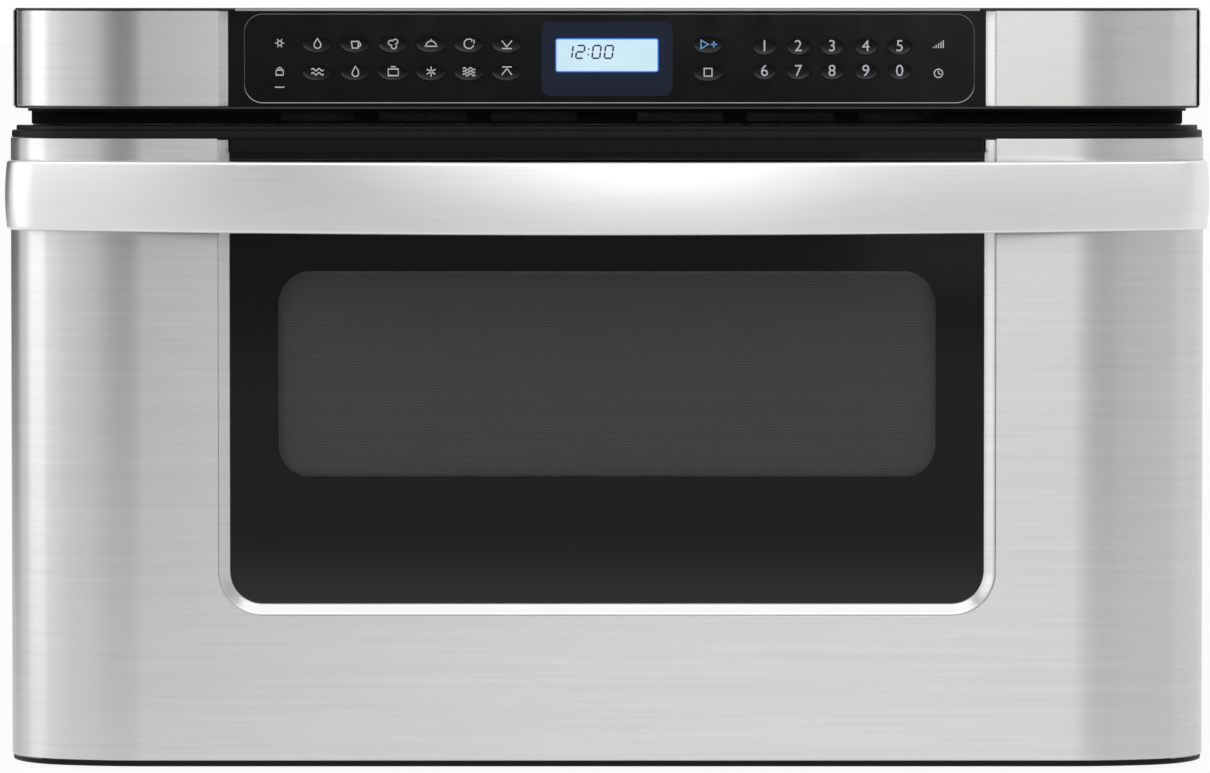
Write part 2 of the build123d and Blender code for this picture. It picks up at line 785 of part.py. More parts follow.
def make_interlock_switches():
    """Stacked microswitches on a bracket behind each hook slot, just under the hook's way in."""
    deck = hook_z - 12
    bracket = block(hook_x - 9, hook_x + 9, cavity_y, cavity_y + 1.5, deck - 34, deck)
    bracket += block(hook_x - 9, hook_x + 9, cavity_y, cavity_y + 34, deck - 2, deck)
    switches = block(hook_x - 5, hook_x + 5, cavity_y + 4, cavity_y + 32, deck - 20, deck - 2)
    return pair(bracket + switches)


# ---------------------------------------------------------------- tub

def make_drawer_tub():
    """Moulded food tub, open at the top and at the door, with a rolled rim and a front flange."""
    half = cavity_width / 2 - tub_clearance
    low = cavity_floor + tub_floor_gap
    high = low + tub_height
    outer = block(-half, half, door_back, tub_back, low, high)
    outer = fillet(outer.edges().filter_by(Axis.Z).group_by(Axis.Y)[-1], tub_corner)
    inner = block(-half + tub_wall, half - tub_wall, door_back - 30, tub_back - tub_wall, low + tub_wall,
                  high + 1)
    inner = fillet(inner.edges().filter_by(Axis.Z).group_by(Axis.Y)[-1], tub_corner - tub_wall)
    rim = block(-half - tub_rim, half + tub_rim, door_back, tub_back + tub_rim, high - 3, high)
    rim = fillet(rim.edges().filter_by(Axis.Z).group_by(Axis.Y)[-1], tub_corner + tub_rim)
    flange = block(-half - tub_rim, half + tub_rim, door_back, door_back + 3, low, high)
    return outer + rim + flange - inner


def make_floor_plate():
    """Ceramic floor plate lying in the tub."""
    half = cavity_width / 2 - tub_clearance - tub_wall - 1
    low = cavity_floor + tub_floor_gap + tub_wall
    front = door_back + 2
    back = tub_back - tub_wall - 1
    plate = Pos(0, (front + back) / 2) * RectangleRounded(2 * half, back - front, tub_corner - tub_wall)
    return plan(plate, low, low + floor_glass)


# ---------------------------------------------------------------- slides

def channel(web_x, mouth_x, height, lip):
    """C-section seen from the front: web at web_x, open towards mouth_x, with turned-in lips."""
    half = height / 2
    t = rail_sheet
    d = 1 if mouth_x > web_x else -1
    points = [(web_x, half), (mouth_x, half), (mouth_x, half - lip), (mouth_x - d * t, half - lip),
              (mouth_x - d * t, half - t), (web_x + d * t, half - t)]
    points += [(x, -z) for x, z in reversed(points)]
    return Pos(0, rail_middle) * make_face(Polyline(*points, close=True))


rail_y = cavity_y + 5
foot_sheet = 2.5
outer_lip = 6.0
middle_lip = 5.5
inner_lip = 4.0
foot_half = 22.0


def rails(web_x, mouth_x, height, lip):
    """One rail of the right-hand slide."""
    return elevation(channel(web_x, mouth_x, height, lip), rail_y, rail_y + rail_length)


middle_height = rail_height - 2 * rail_sheet - 2 * rail_play
inner_height = middle_height - 2 * rail_sheet - 2 * rail_play


def make_outer_rails():
    return pair(rails(rail_back, rail_back - rail_depth, rail_height, outer_lip))


def make_middle_rails():
    web = rail_back - rail_sheet - rail_play
    mouth = rail_back - rail_depth + rail_sheet + rail_play
    return pair(rails(web, mouth, middle_height, middle_lip))


def make_inner_rails():
    """Inner members with the foot that is screwed to the back of the door."""
    mouth = rail_back - 2 * rail_sheet - 2 * rail_play
    web = rail_back - rail_depth + 2 * rail_sheet + 2 * rail_play
    rail = elevation(channel(web, mouth, inner_height, inner_lip), door_back, rail_y + rail_length)
    foot = block(web - foot_half, mouth, door_back, door_back + foot_sheet, rail_middle - foot_half,
                 rail_middle + foot_half)
    return pair(rail + foot)


# ---------------------------------------------------------------- rack and pinion

pitch_radius = gear_module * pinion_teeth / 2
tooth_pitch = pi * gear_module
addendum = gear_module
dedendum = 1.25 * gear_module
shaft_radius = 4.0
shaft_length = 16.0
rack_foot_half = 20.0
rack_foot_height = 24.0
gusset_length = 30.0
gusset_sheet = 4.0
pinion_setback = 30.0
pinion_y = door_back + pinion_setback
pinion_z = rack_pitch_height - pitch_radius


def make_drive_rack():
    """Rack under the tub: straight-sided teeth facing down, a foot and a gusset on the door."""
    slope = tan(radians(pressure_angle))
    half_tooth = tooth_pitch / 4 - backlash / 2
    teeth = int((travel + 50) / tooth_pitch)
    front = pinion_y - 3.5 * tooth_pitch
    root = rack_pitch_height + dedendum
    tip = rack_pitch_height - addendum
    line = [(door_back, root + rack_back), (door_back, root)]
    for tooth in range(teeth):
        y = front + tooth * tooth_pitch
        line += [(y - half_tooth - dedendum * slope, root), (y - half_tooth + addendum * slope, tip),
                 (y + half_tooth - addendum * slope, tip), (y + half_tooth + dedendum * slope, root)]
    back = front + teeth * tooth_pitch
    line += [(back, root), (back, root + rack_back)]
    rack = side_view(make_face(Polyline(*line, close=True)), -rack_width / 2, rack_width / 2)
    foot_top = root + rack_foot_height
    foot = block(-rack_foot_half, rack_foot_half, door_back, door_back + foot_sheet, root, foot_top)
    gusset = Polyline((door_back, root + rack_back), (door_back + gusset_length, root + rack_back),
                      (door_back, foot_top), close=True)
    return rack + foot + side_view(make_face(gusset), -gusset_sheet / 2, gusset_sheet / 2)


def involute(base, radius):
    """Angle by which the involute has left its start at this radius."""
    lift = sqrt((radius / base) ** 2 - 1)
    return lift - atan2(lift, 1)


def make_drive_pinion():
    """Involute pinion with a shaft into the gear motor; one tooth points straight up into the rack."""
    base = pitch_radius * cos(radians(pressure_angle))
    root = pitch_radius - dedendum
    tip = pitch_radius + addendum
    half_tooth = (tooth_pitch / 4 - backlash / 4) / pitch_radius
    foot = max(root, base)
    points = []
    for tooth in range(pinion_teeth):
        middle = 2 * pi * tooth / pinion_teeth + pi / 2
        flank = []
        for step in range(4):
            radius = foot + (tip - foot) * step / 3
            half = half_tooth + involute(base, pitch_radius) - involute(base, radius)
            flank.append((radius, half))
        flank.insert(0, (root, flank[0][1]))
        points += [(r * cos(middle - half), r * sin(middle - half)) for r, half in flank]
        points += [(r * cos(middle + half), r * sin(middle + half)) for r, half in reversed(flank)]
    gear = side_view(make_face(Polyline(*points, close=True)), -rack_width / 2, rack_width / 2)
    shaft = side_view(Circle(shaft_radius), rack_width / 2, rack_width / 2 + shaft_length)
    return Pos(0, pinion_y, pinion_z) * (gear + shaft)


def make_drawer_motor():
    """Gear motor on the base pan: gearbox beside the pinion, motor can reaching out to the side."""
    box_width, box_height, can_radius, can_length = 26.0, 34.0, 15.0, 60.0
    low = foot_height + sheet
    near = rack_width / 2 + 1
    far = near + box_width
    box = block(near, far, pinion_y - 22, pinion_y + 44, low, low + box_height)
    can = side_view(faceted(can_radius, 12, pinion_y + 22, low + box_height / 2), far, far + can_length)
    bore = Pos(pinion_y, pinion_z) * Circle(shaft_radius + shaft_play)
    return box + can - side_view(bore, near - 1, near + shaft_length + 1)


# ---------------------------------------------------------------- every piece

save("door_skin", make_door_skin())
save("door_glass", make_door_glass())
save("door_frame", make_door_frame())
save("door_screen", make_door_screen())
save("door_liner", make_door_liner())
save("door_top_cap", make_door_top_cap())
save("door_bottom_lip", make_door_bottom_lip())
save("handle", make_handle())
save("control_housing", make_control_housing())
save("panel_trims", make_panel_trims())
save("panel_face", make_panel_face())
save("display_window", make_display_window())
save("control_board", make_control_board())
save("vent_louvre", make_vent_louvre())
for name, x, z, size in keys:
    save(name, make_key(x, z, size))
save("front_flange", make_front_flange())
save("base_pan", make_base_pan())
save("outer_wrap", make_outer_wrap())
save("rear_panel", make_rear_panel())
save("cord_gland", make_cord_gland())
save("oven_cavity", make_oven_cavity())
save("stirrer_cover", make_stirrer_cover())
save("stirrer", make_stirrer())
save("stirrer_motor", make_stirrer_motor())
save("magnetron", make_magnetron())
save("transformer", make_transformer())
save("cooling_fan", make_cooling_fan())
save("fan_shroud", make_fan_shroud())
save("interlock_switches", make_interlock_switches())
save("drawer_tub", make_drawer_tub())
save("floor_plate", make_floor_plate())
save("outer_rails", make_outer_rails())
save("middle_rails", make_middle_rails())
save("inner_rails", make_inner_rails())
save("drive_rack", make_drive_rack())
save("drive_pinion", make_drive_pinion())
save("drawer_motor", make_drawer_motor())
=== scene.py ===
from math import asin, cos, pi, radians, sin, sqrt

import bmesh
import bpy
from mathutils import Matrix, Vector


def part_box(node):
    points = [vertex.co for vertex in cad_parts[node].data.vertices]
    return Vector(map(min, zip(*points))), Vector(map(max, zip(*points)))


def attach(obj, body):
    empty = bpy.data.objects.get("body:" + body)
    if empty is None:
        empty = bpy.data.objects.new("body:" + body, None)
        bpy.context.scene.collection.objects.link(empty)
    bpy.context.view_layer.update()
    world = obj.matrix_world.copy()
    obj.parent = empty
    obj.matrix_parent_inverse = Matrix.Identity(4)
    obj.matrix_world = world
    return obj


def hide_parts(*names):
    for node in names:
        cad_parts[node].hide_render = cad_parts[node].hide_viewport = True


# Dressing of a built-in microwave drawer. Sizes here are in millimetres, as on the drawing, and
# become metres where a mesh is made. X is to the right, Y runs to the back, Z is up.

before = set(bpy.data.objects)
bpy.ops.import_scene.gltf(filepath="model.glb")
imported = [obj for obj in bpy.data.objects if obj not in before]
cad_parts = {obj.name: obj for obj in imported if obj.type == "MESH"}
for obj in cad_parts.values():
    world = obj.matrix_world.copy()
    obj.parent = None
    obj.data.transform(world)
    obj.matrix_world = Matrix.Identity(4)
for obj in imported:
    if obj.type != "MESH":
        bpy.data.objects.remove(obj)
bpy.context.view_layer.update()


# ---------------------------------------------------------------- door skin
# Stainless sheet, bent round both sides of the door and pressed in round the glass as a narrow
# bevel. It is brushed from side to side, so light smears up and down and stays sharp across.

def corners(node):
    """Lowest and highest corner of a solid of the frame, in millimetres."""
    low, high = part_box(node)
    return low * 1000, high * 1000


def linear(hex_colour):
    """sRGB colour, as six hex digits, in the linear light that a shader takes."""
    parts = [int(hex_colour[place:place + 2], 16) / 255 for place in (0, 2, 4)]
    return [part / 12.92 if part < 0.04045 else ((part + 0.055) / 1.055) ** 2.4 for part in parts] + [1.0]


def add(tree, kind, settings=None, **inputs):
    """Adds a node: its settings, then its inputs by name, each a value or another node's output."""
    node = tree.nodes.new(kind)
    for name, value in (settings or {}).items():
        setattr(node, name, value)
    for name, value in inputs.items():
        place = int(name[1:]) if name[1:].isdigit() else name.replace("_", " ")
        if isinstance(value, bpy.types.NodeSocket):
            tree.links.new(value, node.inputs[place])
        else:
            node.inputs[place].default_value = value
    return node


def finish(name, colour, roughness, metallic=0.0):
    """A new material with its node tree and main shader."""
    material = bpy.data.materials.new(name)
    material.use_nodes = True
    tree = material.node_tree
    shader = tree.nodes["Principled BSDF"]
    shader.inputs["Base Color"].default_value = linear(colour)
    shader.inputs["Roughness"].default_value = roughness
    shader.inputs["Metallic"].default_value = metallic
    return material, tree, shader


def place_on(tree, x, y, z):
    """Object position, in periods of x, y and z millimetres."""
    spot = add(tree, "ShaderNodeTexCoord")
    scale = [1000 / period for period in (x, y, z)]
    return add(tree, "ShaderNodeMapping", Vector=spot.outputs["Object"], Scale=scale).outputs["Vector"]


def tint(tree, shader, share, low, high):
    """Lets the shader's colour run from low to high, as hex, with a share from 0 to 1."""
    blend = add(tree, "ShaderNodeMix", {"data_type": "RGBA"}, _0=share, _6=linear(low), _7=linear(high))
    tree.links.new(blend.outputs[2], shader.inputs["Base Color"])


def cloud(tree, x, y, z, detail=2.0, **more):
    """Noise from 0 to 1, with clouds of x, y and z millimetres."""
    spot = place_on(tree, x, y, z)
    return add(tree, "ShaderNodeTexNoise", Vector=spot, Scale=1.0, Detail=detail, **more).outputs["Fac"]


def spread(tree, share, low, high, **span):
    """Runs from low to high while the share goes over its span."""
    return add(tree, "ShaderNodeMapRange", Value=share, To_Min=low, To_Max=high, **span).outputs["Result"]


def roughen(tree, shader, share, low, high, **span):
    """Lets the shader's roughness run from low to high."""
    tree.links.new(spread(tree, share, low, high, **span), shader.inputs["Roughness"])


def emboss(tree, shader, height, strength, distance):
    """Bumps in the surface, from a height of 0 to 1 and a distance in metres."""
    bump = add(tree, "ShaderNodeBump", Height=height, Strength=strength, Distance=distance)
    tree.links.new(bump.outputs["Normal"], shader.inputs["Normal"])


def brush(tree, shader, amount):
    """Smears the light up and down, as grit lines from side to side do."""
    across = add(tree, "ShaderNodeTangent", {"direction_type": "RADIAL", "axis": "Z"})
    tree.links.new(across.outputs["Tangent"], shader.inputs["Tangent"])
    shader.inputs["Anisotropic"].default_value = amount
    shader.inputs["Anisotropic Rotation"].default_value = 0.25


def mottled(name, colour, roughness, low, high, size, metallic=0.0, specular=0.5):
    """A material whose roughness wanders from low to high, in clouds of size millimetres."""
    material, tree, shader = finish(name, colour, roughness, metallic)
    shader.inputs["Specular IOR Level"].default_value = specular
    roughen(tree, shader, cloud(tree, size, size, size), low, high)
    return material


def linked(name, data):
    """A new object in the scene, for a mesh, lamp, text or camera."""
    made = bpy.data.objects.new(name, data)
    bpy.context.scene.collection.objects.link(made)
    return made


def piece(name, points, faces, body, nodes=(), slot=None, material=None, sharp=35.0):
    """Makes a mesh from millimetre points, smooth apart from edges over sharp degrees, and seats it."""
    mesh = bpy.data.meshes.new(name)
    mesh.from_pydata([Vector(point) * 0.001 for point in points], [], faces)
    work = bmesh.new()
    work.from_mesh(mesh)
    bmesh.ops.remove_doubles(work, verts=work.verts, dist=2e-6)
    for face in work.faces:
        face.smooth = True
    for edge in work.edges:
        edge.smooth = edge.is_manifold and edge.calc_face_angle(0) < radians(sharp)
    work.to_mesh(mesh)
    work.free()
    made = linked(name, mesh)
    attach(made, body)
    if nodes:
        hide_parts(*nodes)
    if material:
        mesh.materials.append(material)
    return made


def thicken(made, name, depth):
    """Gives a sheet its depth, in metres, behind the face that is drawn."""
    sheet = made.modifiers.new(name, "SOLIDIFY")
    sheet.thickness = depth
    sheet.offset = -1


def flat_shaded(made):
    """Lets wide faces rule the shading along their edges, so that a flat stays flat beside a hem."""
    made.modifiers.new("face_weighted", "WEIGHTED_NORMAL").keep_sharp = True


def strip(rows, skip=lambda row, place: False):
    """Points and quads of a sheet that runs through rows of equal length."""
    wide = len(rows[0])
    points = [point for row in rows for point in row]
    faces = []
    for row in range(len(rows) - 1):
        for place in range(wide - 1):
            if not skip(row, place):
                first = row * wide + place
                faces.append((first, first + 1, first + 1 + wide, first + wide))
    return points, faces


skin_low, skin_high = corners("door_skin")
glass_low, glass_high = corners("door_glass")
face_y = skin_low.y
flange_y = corners("front_flange")[0].y
door_back = skin_high.y
bow_radius = 130.0
bow_turn = radians(19)
corner_radius = 42.0
corner_turn = radians(56)
flat_half = skin_high.x - bow_radius * sin(bow_turn)
flat_half -= corner_radius * (sin(bow_turn + corner_turn) - sin(bow_turn))
window_half = 191.0
window_low = skin_low.z + 78.8
window_corner = 17.0


def front_arc(inset, back):
    """Front's outline seen from above, from the end of its flat middle round to the right side."""
    reach = bow_radius - inset
    turns = [bow_turn * step / 14 for step in range(15)]
    points = [(flat_half + reach * sin(turn), face_y + bow_radius - reach * cos(turn)) for turn in turns]
    middle_x = flat_half + (bow_radius - corner_radius) * sin(bow_turn)
    middle_y = face_y + bow_radius - (bow_radius - corner_radius) * cos(bow_turn)
    reach = corner_radius - inset
    turns = [bow_turn + corner_turn * step / 16 for step in range(1, 17)]
    points += [(middle_x + reach * sin(turn), middle_y - reach * cos(turn)) for turn in turns]
    return points + [(points[-1][0], back)]


def front_row(inset, z, back, middle=()):
    """The whole front at one level, from the left side to the right, with extra places in the middle."""
    right = front_arc(inset, back)
    left = [(-x, y) for x, y in reversed(right)]
    return [(x, y, z) for x, y in left + [(x, face_y + inset) for x in middle] + right]


def window_line(grow, depth, top):
    """Window's outline, from its top right corner down and round to its top left one."""
    half, low, radius = window_half + grow, window_low - grow, window_corner + grow
    turns = [pi / 2 * step / 12 for step in range(13)]
    right = [(half, top)]
    right += [(half - radius + radius * cos(turn), low + radius - radius * sin(turn)) for turn in turns]
    left = [(-x, z) for x, z in reversed(right)]
    return [(x, face_y + depth, z) for x, z in right + left]


brushed_steel, tree, shader = finish("brushed_stainless", "C6C6C5", 0.30, metallic=1.0)
# Fine grit lines, 0.5 mm apart where real ones are nearer, so that they still show, in long dashes
grit = cloud(tree, 40, 40, 0.5, 3.0, Roughness=0.7)
streak = cloud(tree, 160, 160, 2.5, 3.0)
mixed = add(tree, "ShaderNodeMath", {"operation": "MULTIPLY"}, _0=grit, _1=streak).outputs["Value"]
roughen(tree, shader, grit, 0.28, 0.34, From_Min=0.3, From_Max=0.7)
tint(tree, shader, spread(tree, mixed, 0.0, 1.0, From_Min=0.12, From_Max=0.40), "C4C4C3", "CDCDCC")
emboss(tree, shader, grit, 0.08, 0.00001)
brush(tree, shader, 0.75)

hem = [(1.2, 0.0), (0.55, 0.1), (0.15, 0.4), (0.0, 0.9)]
bevel_profile = [(5.4, 0.0), (5.1, 0.04), (4.7, 0.2), (4.3, 0.45), (3.8, 0.85), (1.2, 2.95), (0.7, 3.25),
                 (0.3, 3.42), (0.1, 3.6), (0.0, 3.9)]
notch = window_half + bevel_profile[0][0]
levels = [(inset, skin_low.z + rise) for inset, rise in hem]
levels += [(inset, skin_high.z - rise) for inset, rise in reversed(hem)]
rows = [front_row(inset, z, door_back, (-notch, notch)) for inset, z in levels]
wide = len(rows[0])
left_end = wide // 2 - 2
main = len(hem) - 1


def in_the_window(row, place):
    """The flat middle between the hems is one face with the window in it, and the top hem stops there."""
    flat = left_end <= place <= left_end + 2
    return (flat and row == main) or (place == left_end + 1 and row > main)


points, faces = strip(rows, in_the_window)
bottom = [main * wide + left_end + step for step in range(4)]
top = [(main + 1) * wide + left_end + step for step in (3, 2, 1, 0)]
bevel_rows = [window_line(grow, depth, skin_high.z - hem[-1][1]) for grow, depth in bevel_profile]
bevel_points, bevel_faces = strip(bevel_rows)
first = len(points)
around = [first + place for place in range(len(bevel_rows[0]))]
faces.append(bottom + top[:1] + around + top[3:])
faces += [tuple(first + place for place in face) for face in bevel_faces]
points += bevel_points
door_skin = piece("door_skin_pressed", points, faces, "drawer", ["door_skin"], "brushed_stainless",
                  brushed_steel)
thicken(door_skin, "sheet_thickness", 0.0009)
flat_shaded(door_skin)


# ---------------------------------------------------------------- door glass
# Toughened smoked glass, printed black behind apart from its view of the screen. The print
# makes a deep black gloss, and the clear part is a grey veil over the plate behind.

def filled(loops, y):
    """Points and triangles of a flat sheet at y, between an outer loop and any holes, all (x, z)."""
    work = bmesh.new()
    edges = []
    for loop in loops:
        ring = [work.verts.new((x, y, z)) for x, z in loop]
        edges += [work.edges.new((ring[place - 1], ring[place])) for place in range(len(ring))]
    made = bmesh.ops.triangle_fill(work, edges=edges, use_beauty=True, normal=(0, -1, 0))
    work.verts.index_update()
    triangles = [item for item in made["geom"] if isinstance(item, bmesh.types.BMFace)]
    for face in triangles:
        if face.normal.y > 0:
            face.normal_flip()
    faces = [tuple(vertex.index for vertex in face.verts) for face in triangles]
    points = [tuple(vertex.co) for vertex in work.verts]
    work.free()
    return points, faces


def soften(made, name, width):
    """Rounds edges over 50 degrees, by a width in metres."""
    bevel = made.modifiers.new(name, "BEVEL")
    bevel.width = width
    bevel.segments = 3
    bevel.limit_method = "ANGLE"
    bevel.angle_limit = radians(50)


def slab(name, loops, front, back, *seat, edge=0.0, **finishes):
    """A flat piece with holes, from front to back, its front edges broken by edge millimetres."""
    made = piece(name, *filled(loops, front), *seat, **finishes)
    thicken(made, "depth", (back - front) * 0.001)
    if edge:
        soften(made, "broken_edge", edge * 0.001)
    return made


def round_box(half_x, half_z, radius, x=0.0, z=0.0, steps=8):
    """Rounded rectangle as (x, z) points."""
    loop = []
    for quarter, (side_x, side_z) in enumerate([(1, 1), (-1, 1), (-1, -1), (1, -1)]):
        for step in range(steps + 1):
            turn = pi / 2 * (quarter + step / steps)
            loop.append((x + side_x * (half_x - radius) + radius * cos(turn),
                         z + side_z * (half_z - radius) + radius * sin(turn)))
    return loop


view_half, view_rise, view_corner, view_z = 165.8, 52.1, 16.0, 199.4
smoked_glass, tree, shader = finish("smoked_glass", "0E0E10", 0.02)
shader.inputs["Alpha"].default_value = 0.345
shader.inputs["IOR"].default_value = 1.6
emboss(tree, shader, cloud(tree, 90, 90, 90, 1.0), 0.02, 0.0005)

black_print, tree, shader = finish("black_ceramic_print", "0C0C0D", 0.06)
shader.inputs["Coat Weight"].default_value = 0.2
roughen(tree, shader, cloud(tree, 0.6, 0.6, 0.6), 0.045, 0.075)

pane = [(x, z) for x, _, z in window_line(4.7, 0, glass_high.z)]
view = round_box(view_half, view_rise, view_corner, 0, view_z, 10)
slab("door_glass_border", [pane, view], glass_low.y + 0.05, glass_high.y - 0.05, "drawer", ["door_glass"],
     "smoked_glass", black_print)
slab("door_glass_view", [view], glass_low.y + 0.05, glass_low.y + 1.2, "drawer", (), "smoked_glass",
     smoked_glass)


# ---------------------------------------------------------------- screen plate
# Thin steel plate with punched holes, enamelled black, that keeps the microwaves in and lets the
# eye through. It is the solid of the frame, with its holes in the finish. Its colour is a light grey,
# much lighter than black enamel: a painted sheen for the light that the plate gives back.

def dress(material, *nodes):
    """Gives solids of the frame their finish."""
    for node in nodes:
        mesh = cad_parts[node].data
        mesh.materials.clear()
        mesh.materials.append(material)


screen_enamel_and_sheen, tree, shader = finish("enamelled_screen_painted_sheen", "3F4042", 0.5)
# Rows of punched holes stand 1.5 mm apart in three directions, a little wider than the real ones, so
# that they show: the sum of three waves has a crest at each hole. The pitch is in metres.
hole_pitch = 0.0015
spot = add(tree, "ShaderNodeTexCoord").outputs["Object"]
crest = 0.0
for turn in (0, pi / 3, 2 * pi / 3):
    way = [2 * pi * part / hole_pitch for part in (sin(turn), 0, cos(turn))]
    along = add(tree, "ShaderNodeVectorMath", {"operation": "DOT_PRODUCT"}, _0=spot, _1=way)
    ripple = add(tree, "ShaderNodeMath", {"operation": "COSINE"}, _0=along.outputs["Value"])
    sum_node = add(tree, "ShaderNodeMath", {"operation": "ADD"}, _0=crest, _1=ripple.outputs["Value"])
    crest = sum_node.outputs["Value"]
hole = add(tree, "ShaderNodeMapRange", {"interpolation_type": "SMOOTHSTEP"}, Value=crest, From_Min=-0.4,
           From_Max=1.8)
# Light grey between the holes and darker grey on them: painted sheen over black enamel, with the holes as a
# pattern.
tint(tree, shader, hole.outputs["Result"], "9F9F9F", "7C7C7C")
dress(screen_enamel_and_sheen, "door_screen")


# ---------------------------------------------------------------- door cap and lip
# Black moulded cap over the door's top edge: a step, a narrower ledge, and a tongue over the edge
# of the glass. A shallow lip of the same moulding closes the door below.

black_moulding, tree, shader = finish("black_moulded_abs", "0B0B0B", 0.42)
shader.inputs["Specular IOR Level"].default_value = 0.15
grain = cloud(tree, 0.8, 0.8, 0.8, 3.0)
emboss(tree, shader, grain, 0.25, 0.00006)
roughen(tree, shader, grain, 0.36, 0.5)

cap_low, cap_high = corners("door_top_cap")
step_top = skin_high.z + 0.6 * (cap_high.z - skin_high.z)
cap_profile = [(0.6, skin_high.z), (0.6, step_top - 0.8), (0.85, step_top - 0.25), (1.4, step_top),
               (2.6, step_top), (3.0, step_top + 0.2), (3.0, cap_high.z - 0.6), (3.2, cap_high.z - 0.15),
               (3.6, cap_high.z), (30.0, cap_high.z)]
points, faces = strip([front_row(inset, z, door_back) for inset, z in cap_profile])
piece("door_cap_moulding", points, faces, "drawer", ["door_top_cap"], "black_moulding", black_moulding)
tongue_half = window_half - 1.8
tongue_low = cap_low.z
tongue = [(1.6, skin_high.z + 0.2), (1.6, tongue_low + 1.5), (1.0, tongue_low + 0.95),
          (0.95, tongue_low + 0.5), (1.2, tongue_low + 0.15), (1.7, tongue_low), (3.9, tongue_low)]
rows = [[(side * tongue_half, face_y + depth, z) for side in (-1, 1)] for depth, z in tongue]
piece("door_cap_tongue", *strip(rows[::-1]), "drawer", (), "black_moulding", black_moulding)

lip_low, lip_high = corners("door_bottom_lip")
lip_profile = [(30.0, lip_low.z), (2.2, lip_low.z), (1.3, lip_low.z + 0.3), (0.8, lip_low.z + 0.9),
               (0.6, lip_low.z + 1.6), (0.6, lip_high.z)]
points, faces = strip([front_row(inset, z, door_back) for inset, z in lip_profile])
piece("door_lip_moulding", points, faces, "drawer", ["door_bottom_lip"], "black_moulding", black_moulding)


# ---------------------------------------------------------------- handle
# Bent bar of satin-anodised aluminium across the whole door, crowned a little, with soft edges. It
# is screwed on from inside through the door's sides, so nothing shows.

handle_low, handle_high = corners("handle")
handle_half = handle_high.x
handle_front = handle_low.y
handle_z = (handle_low.z + handle_high.z) / 2
handle_half_z = (handle_high.z - handle_low.z) / 2
handle_drop = 38.0
handle_corner = 22.0
handle_thick = 9.0
handle_soft = 1.7
handle_lift = 0.3
side_gap = 0.3
thinnest = 1.6
# The bar's lower edge is drawn in, a little at the middle and more towards the ends
trim_middle, trim_growth = 0.7, 1.2
crown = 0.9
span = handle_half - handle_corner
handle_bow = handle_corner + (span ** 2 + handle_drop ** 2) / (2 * handle_drop)

satin_aluminium, tree, shader = finish("satin_anodised_aluminium", "E9E9E8", 0.38, metallic=1.0)
grit = cloud(tree, 50, 50, 0.4, 3.0, Roughness=0.7)
roughen(tree, shader, grit, 0.35, 0.41, From_Min=0.3, From_Max=0.7)
tint(tree, shader, spread(tree, grit, 0.0, 1.0, From_Min=0.3, From_Max=0.7), "E5E5E4", "EDEDEC")
emboss(tree, shader, grit, 0.2, 0.00002)
brush(tree, shader, 0.6)


def handle_path():
    """Right half of the bar's front line seen from above, as (x, y, direction's turn from X)."""
    reach = handle_bow - handle_corner
    swing = asin(span / reach)
    turns = [swing * step / 24 for step in range(25)]
    path = [(handle_bow * sin(turn), handle_front + handle_bow * (1 - cos(turn)), turn) for turn in turns]
    middle_y = handle_front + handle_bow - reach * cos(swing)
    for step in range(1, 15):
        turn = swing + (pi / 2 - swing) * step / 14
        path.append((span + handle_corner * sin(turn), middle_y - handle_corner * cos(turn), turn))
    run = door_back - 2 - middle_y
    return path + [(handle_half, middle_y + run * step / 3, pi / 2) for step in (1, 2, 3)]


def door_side(y):
    """How far out the door's side stands at this depth."""
    fall = bow_radius * (1 - cos(bow_turn)) + corner_radius * cos(bow_turn) - (y - face_y)
    rise = sqrt(max(corner_radius ** 2 - fall ** 2, 0))
    return flat_half + (bow_radius - corner_radius) * sin(bow_turn) + rise


def handle_section(thick):
    """Section of the bar as (inward, up): crowned front, soft edges, flat back."""
    soft = handle_soft
    shares = [step / 6 for step in range(-6, 7)]
    front = [(crown * share ** 2, (handle_half_z - soft) * share) for share in shares]
    turns = [pi / 2 * step / 5 for step in range(1, 6)]
    upper = [(crown + soft - soft * cos(turn), handle_half_z - soft + soft * sin(turn)) for turn in turns]
    lower = [(inward, -up) for inward, up in reversed(upper)]
    return front + upper + [(thick, handle_half_z), (thick, -handle_half_z)] + lower


rows = []
for x, y, turn in handle_path():
    thick = handle_thick
    if y > handle_front + handle_drop + handle_corner - 1:
        thick = min(handle_thick, handle_half - door_side(y) - side_gap)
    section = handle_section(max(thick, crown + thinnest))
    trim = trim_middle + trim_growth * (x / handle_half) ** 2
    rows.append([(x - inward * sin(turn), y + inward * cos(turn),
                  handle_z + handle_lift + up + trim * (1 - up / handle_half_z) / 2)
                 for inward, up in section])
rows = [[(-x, y, z) for x, y, z in row] for row in reversed(rows)] + rows[1:]
rows = [row + row[:1] for row in rows]
handle_bar = piece("handle_bar", *strip(rows), "drawer", ["handle"], "satin_aluminium", satin_aluminium)
work = bmesh.new()
work.from_mesh(handle_bar.data)
bmesh.ops.recalc_face_normals(work, faces=work.faces)
work.to_mesh(handle_bar.data)
work.free()


# ---------------------------------------------------------------- control panel wings
# Two pressed steel covers at the ends of the control panel, of the door's own brushed sheet. Each
# turns in towards the keys with the bevel that runs on from the door's window.

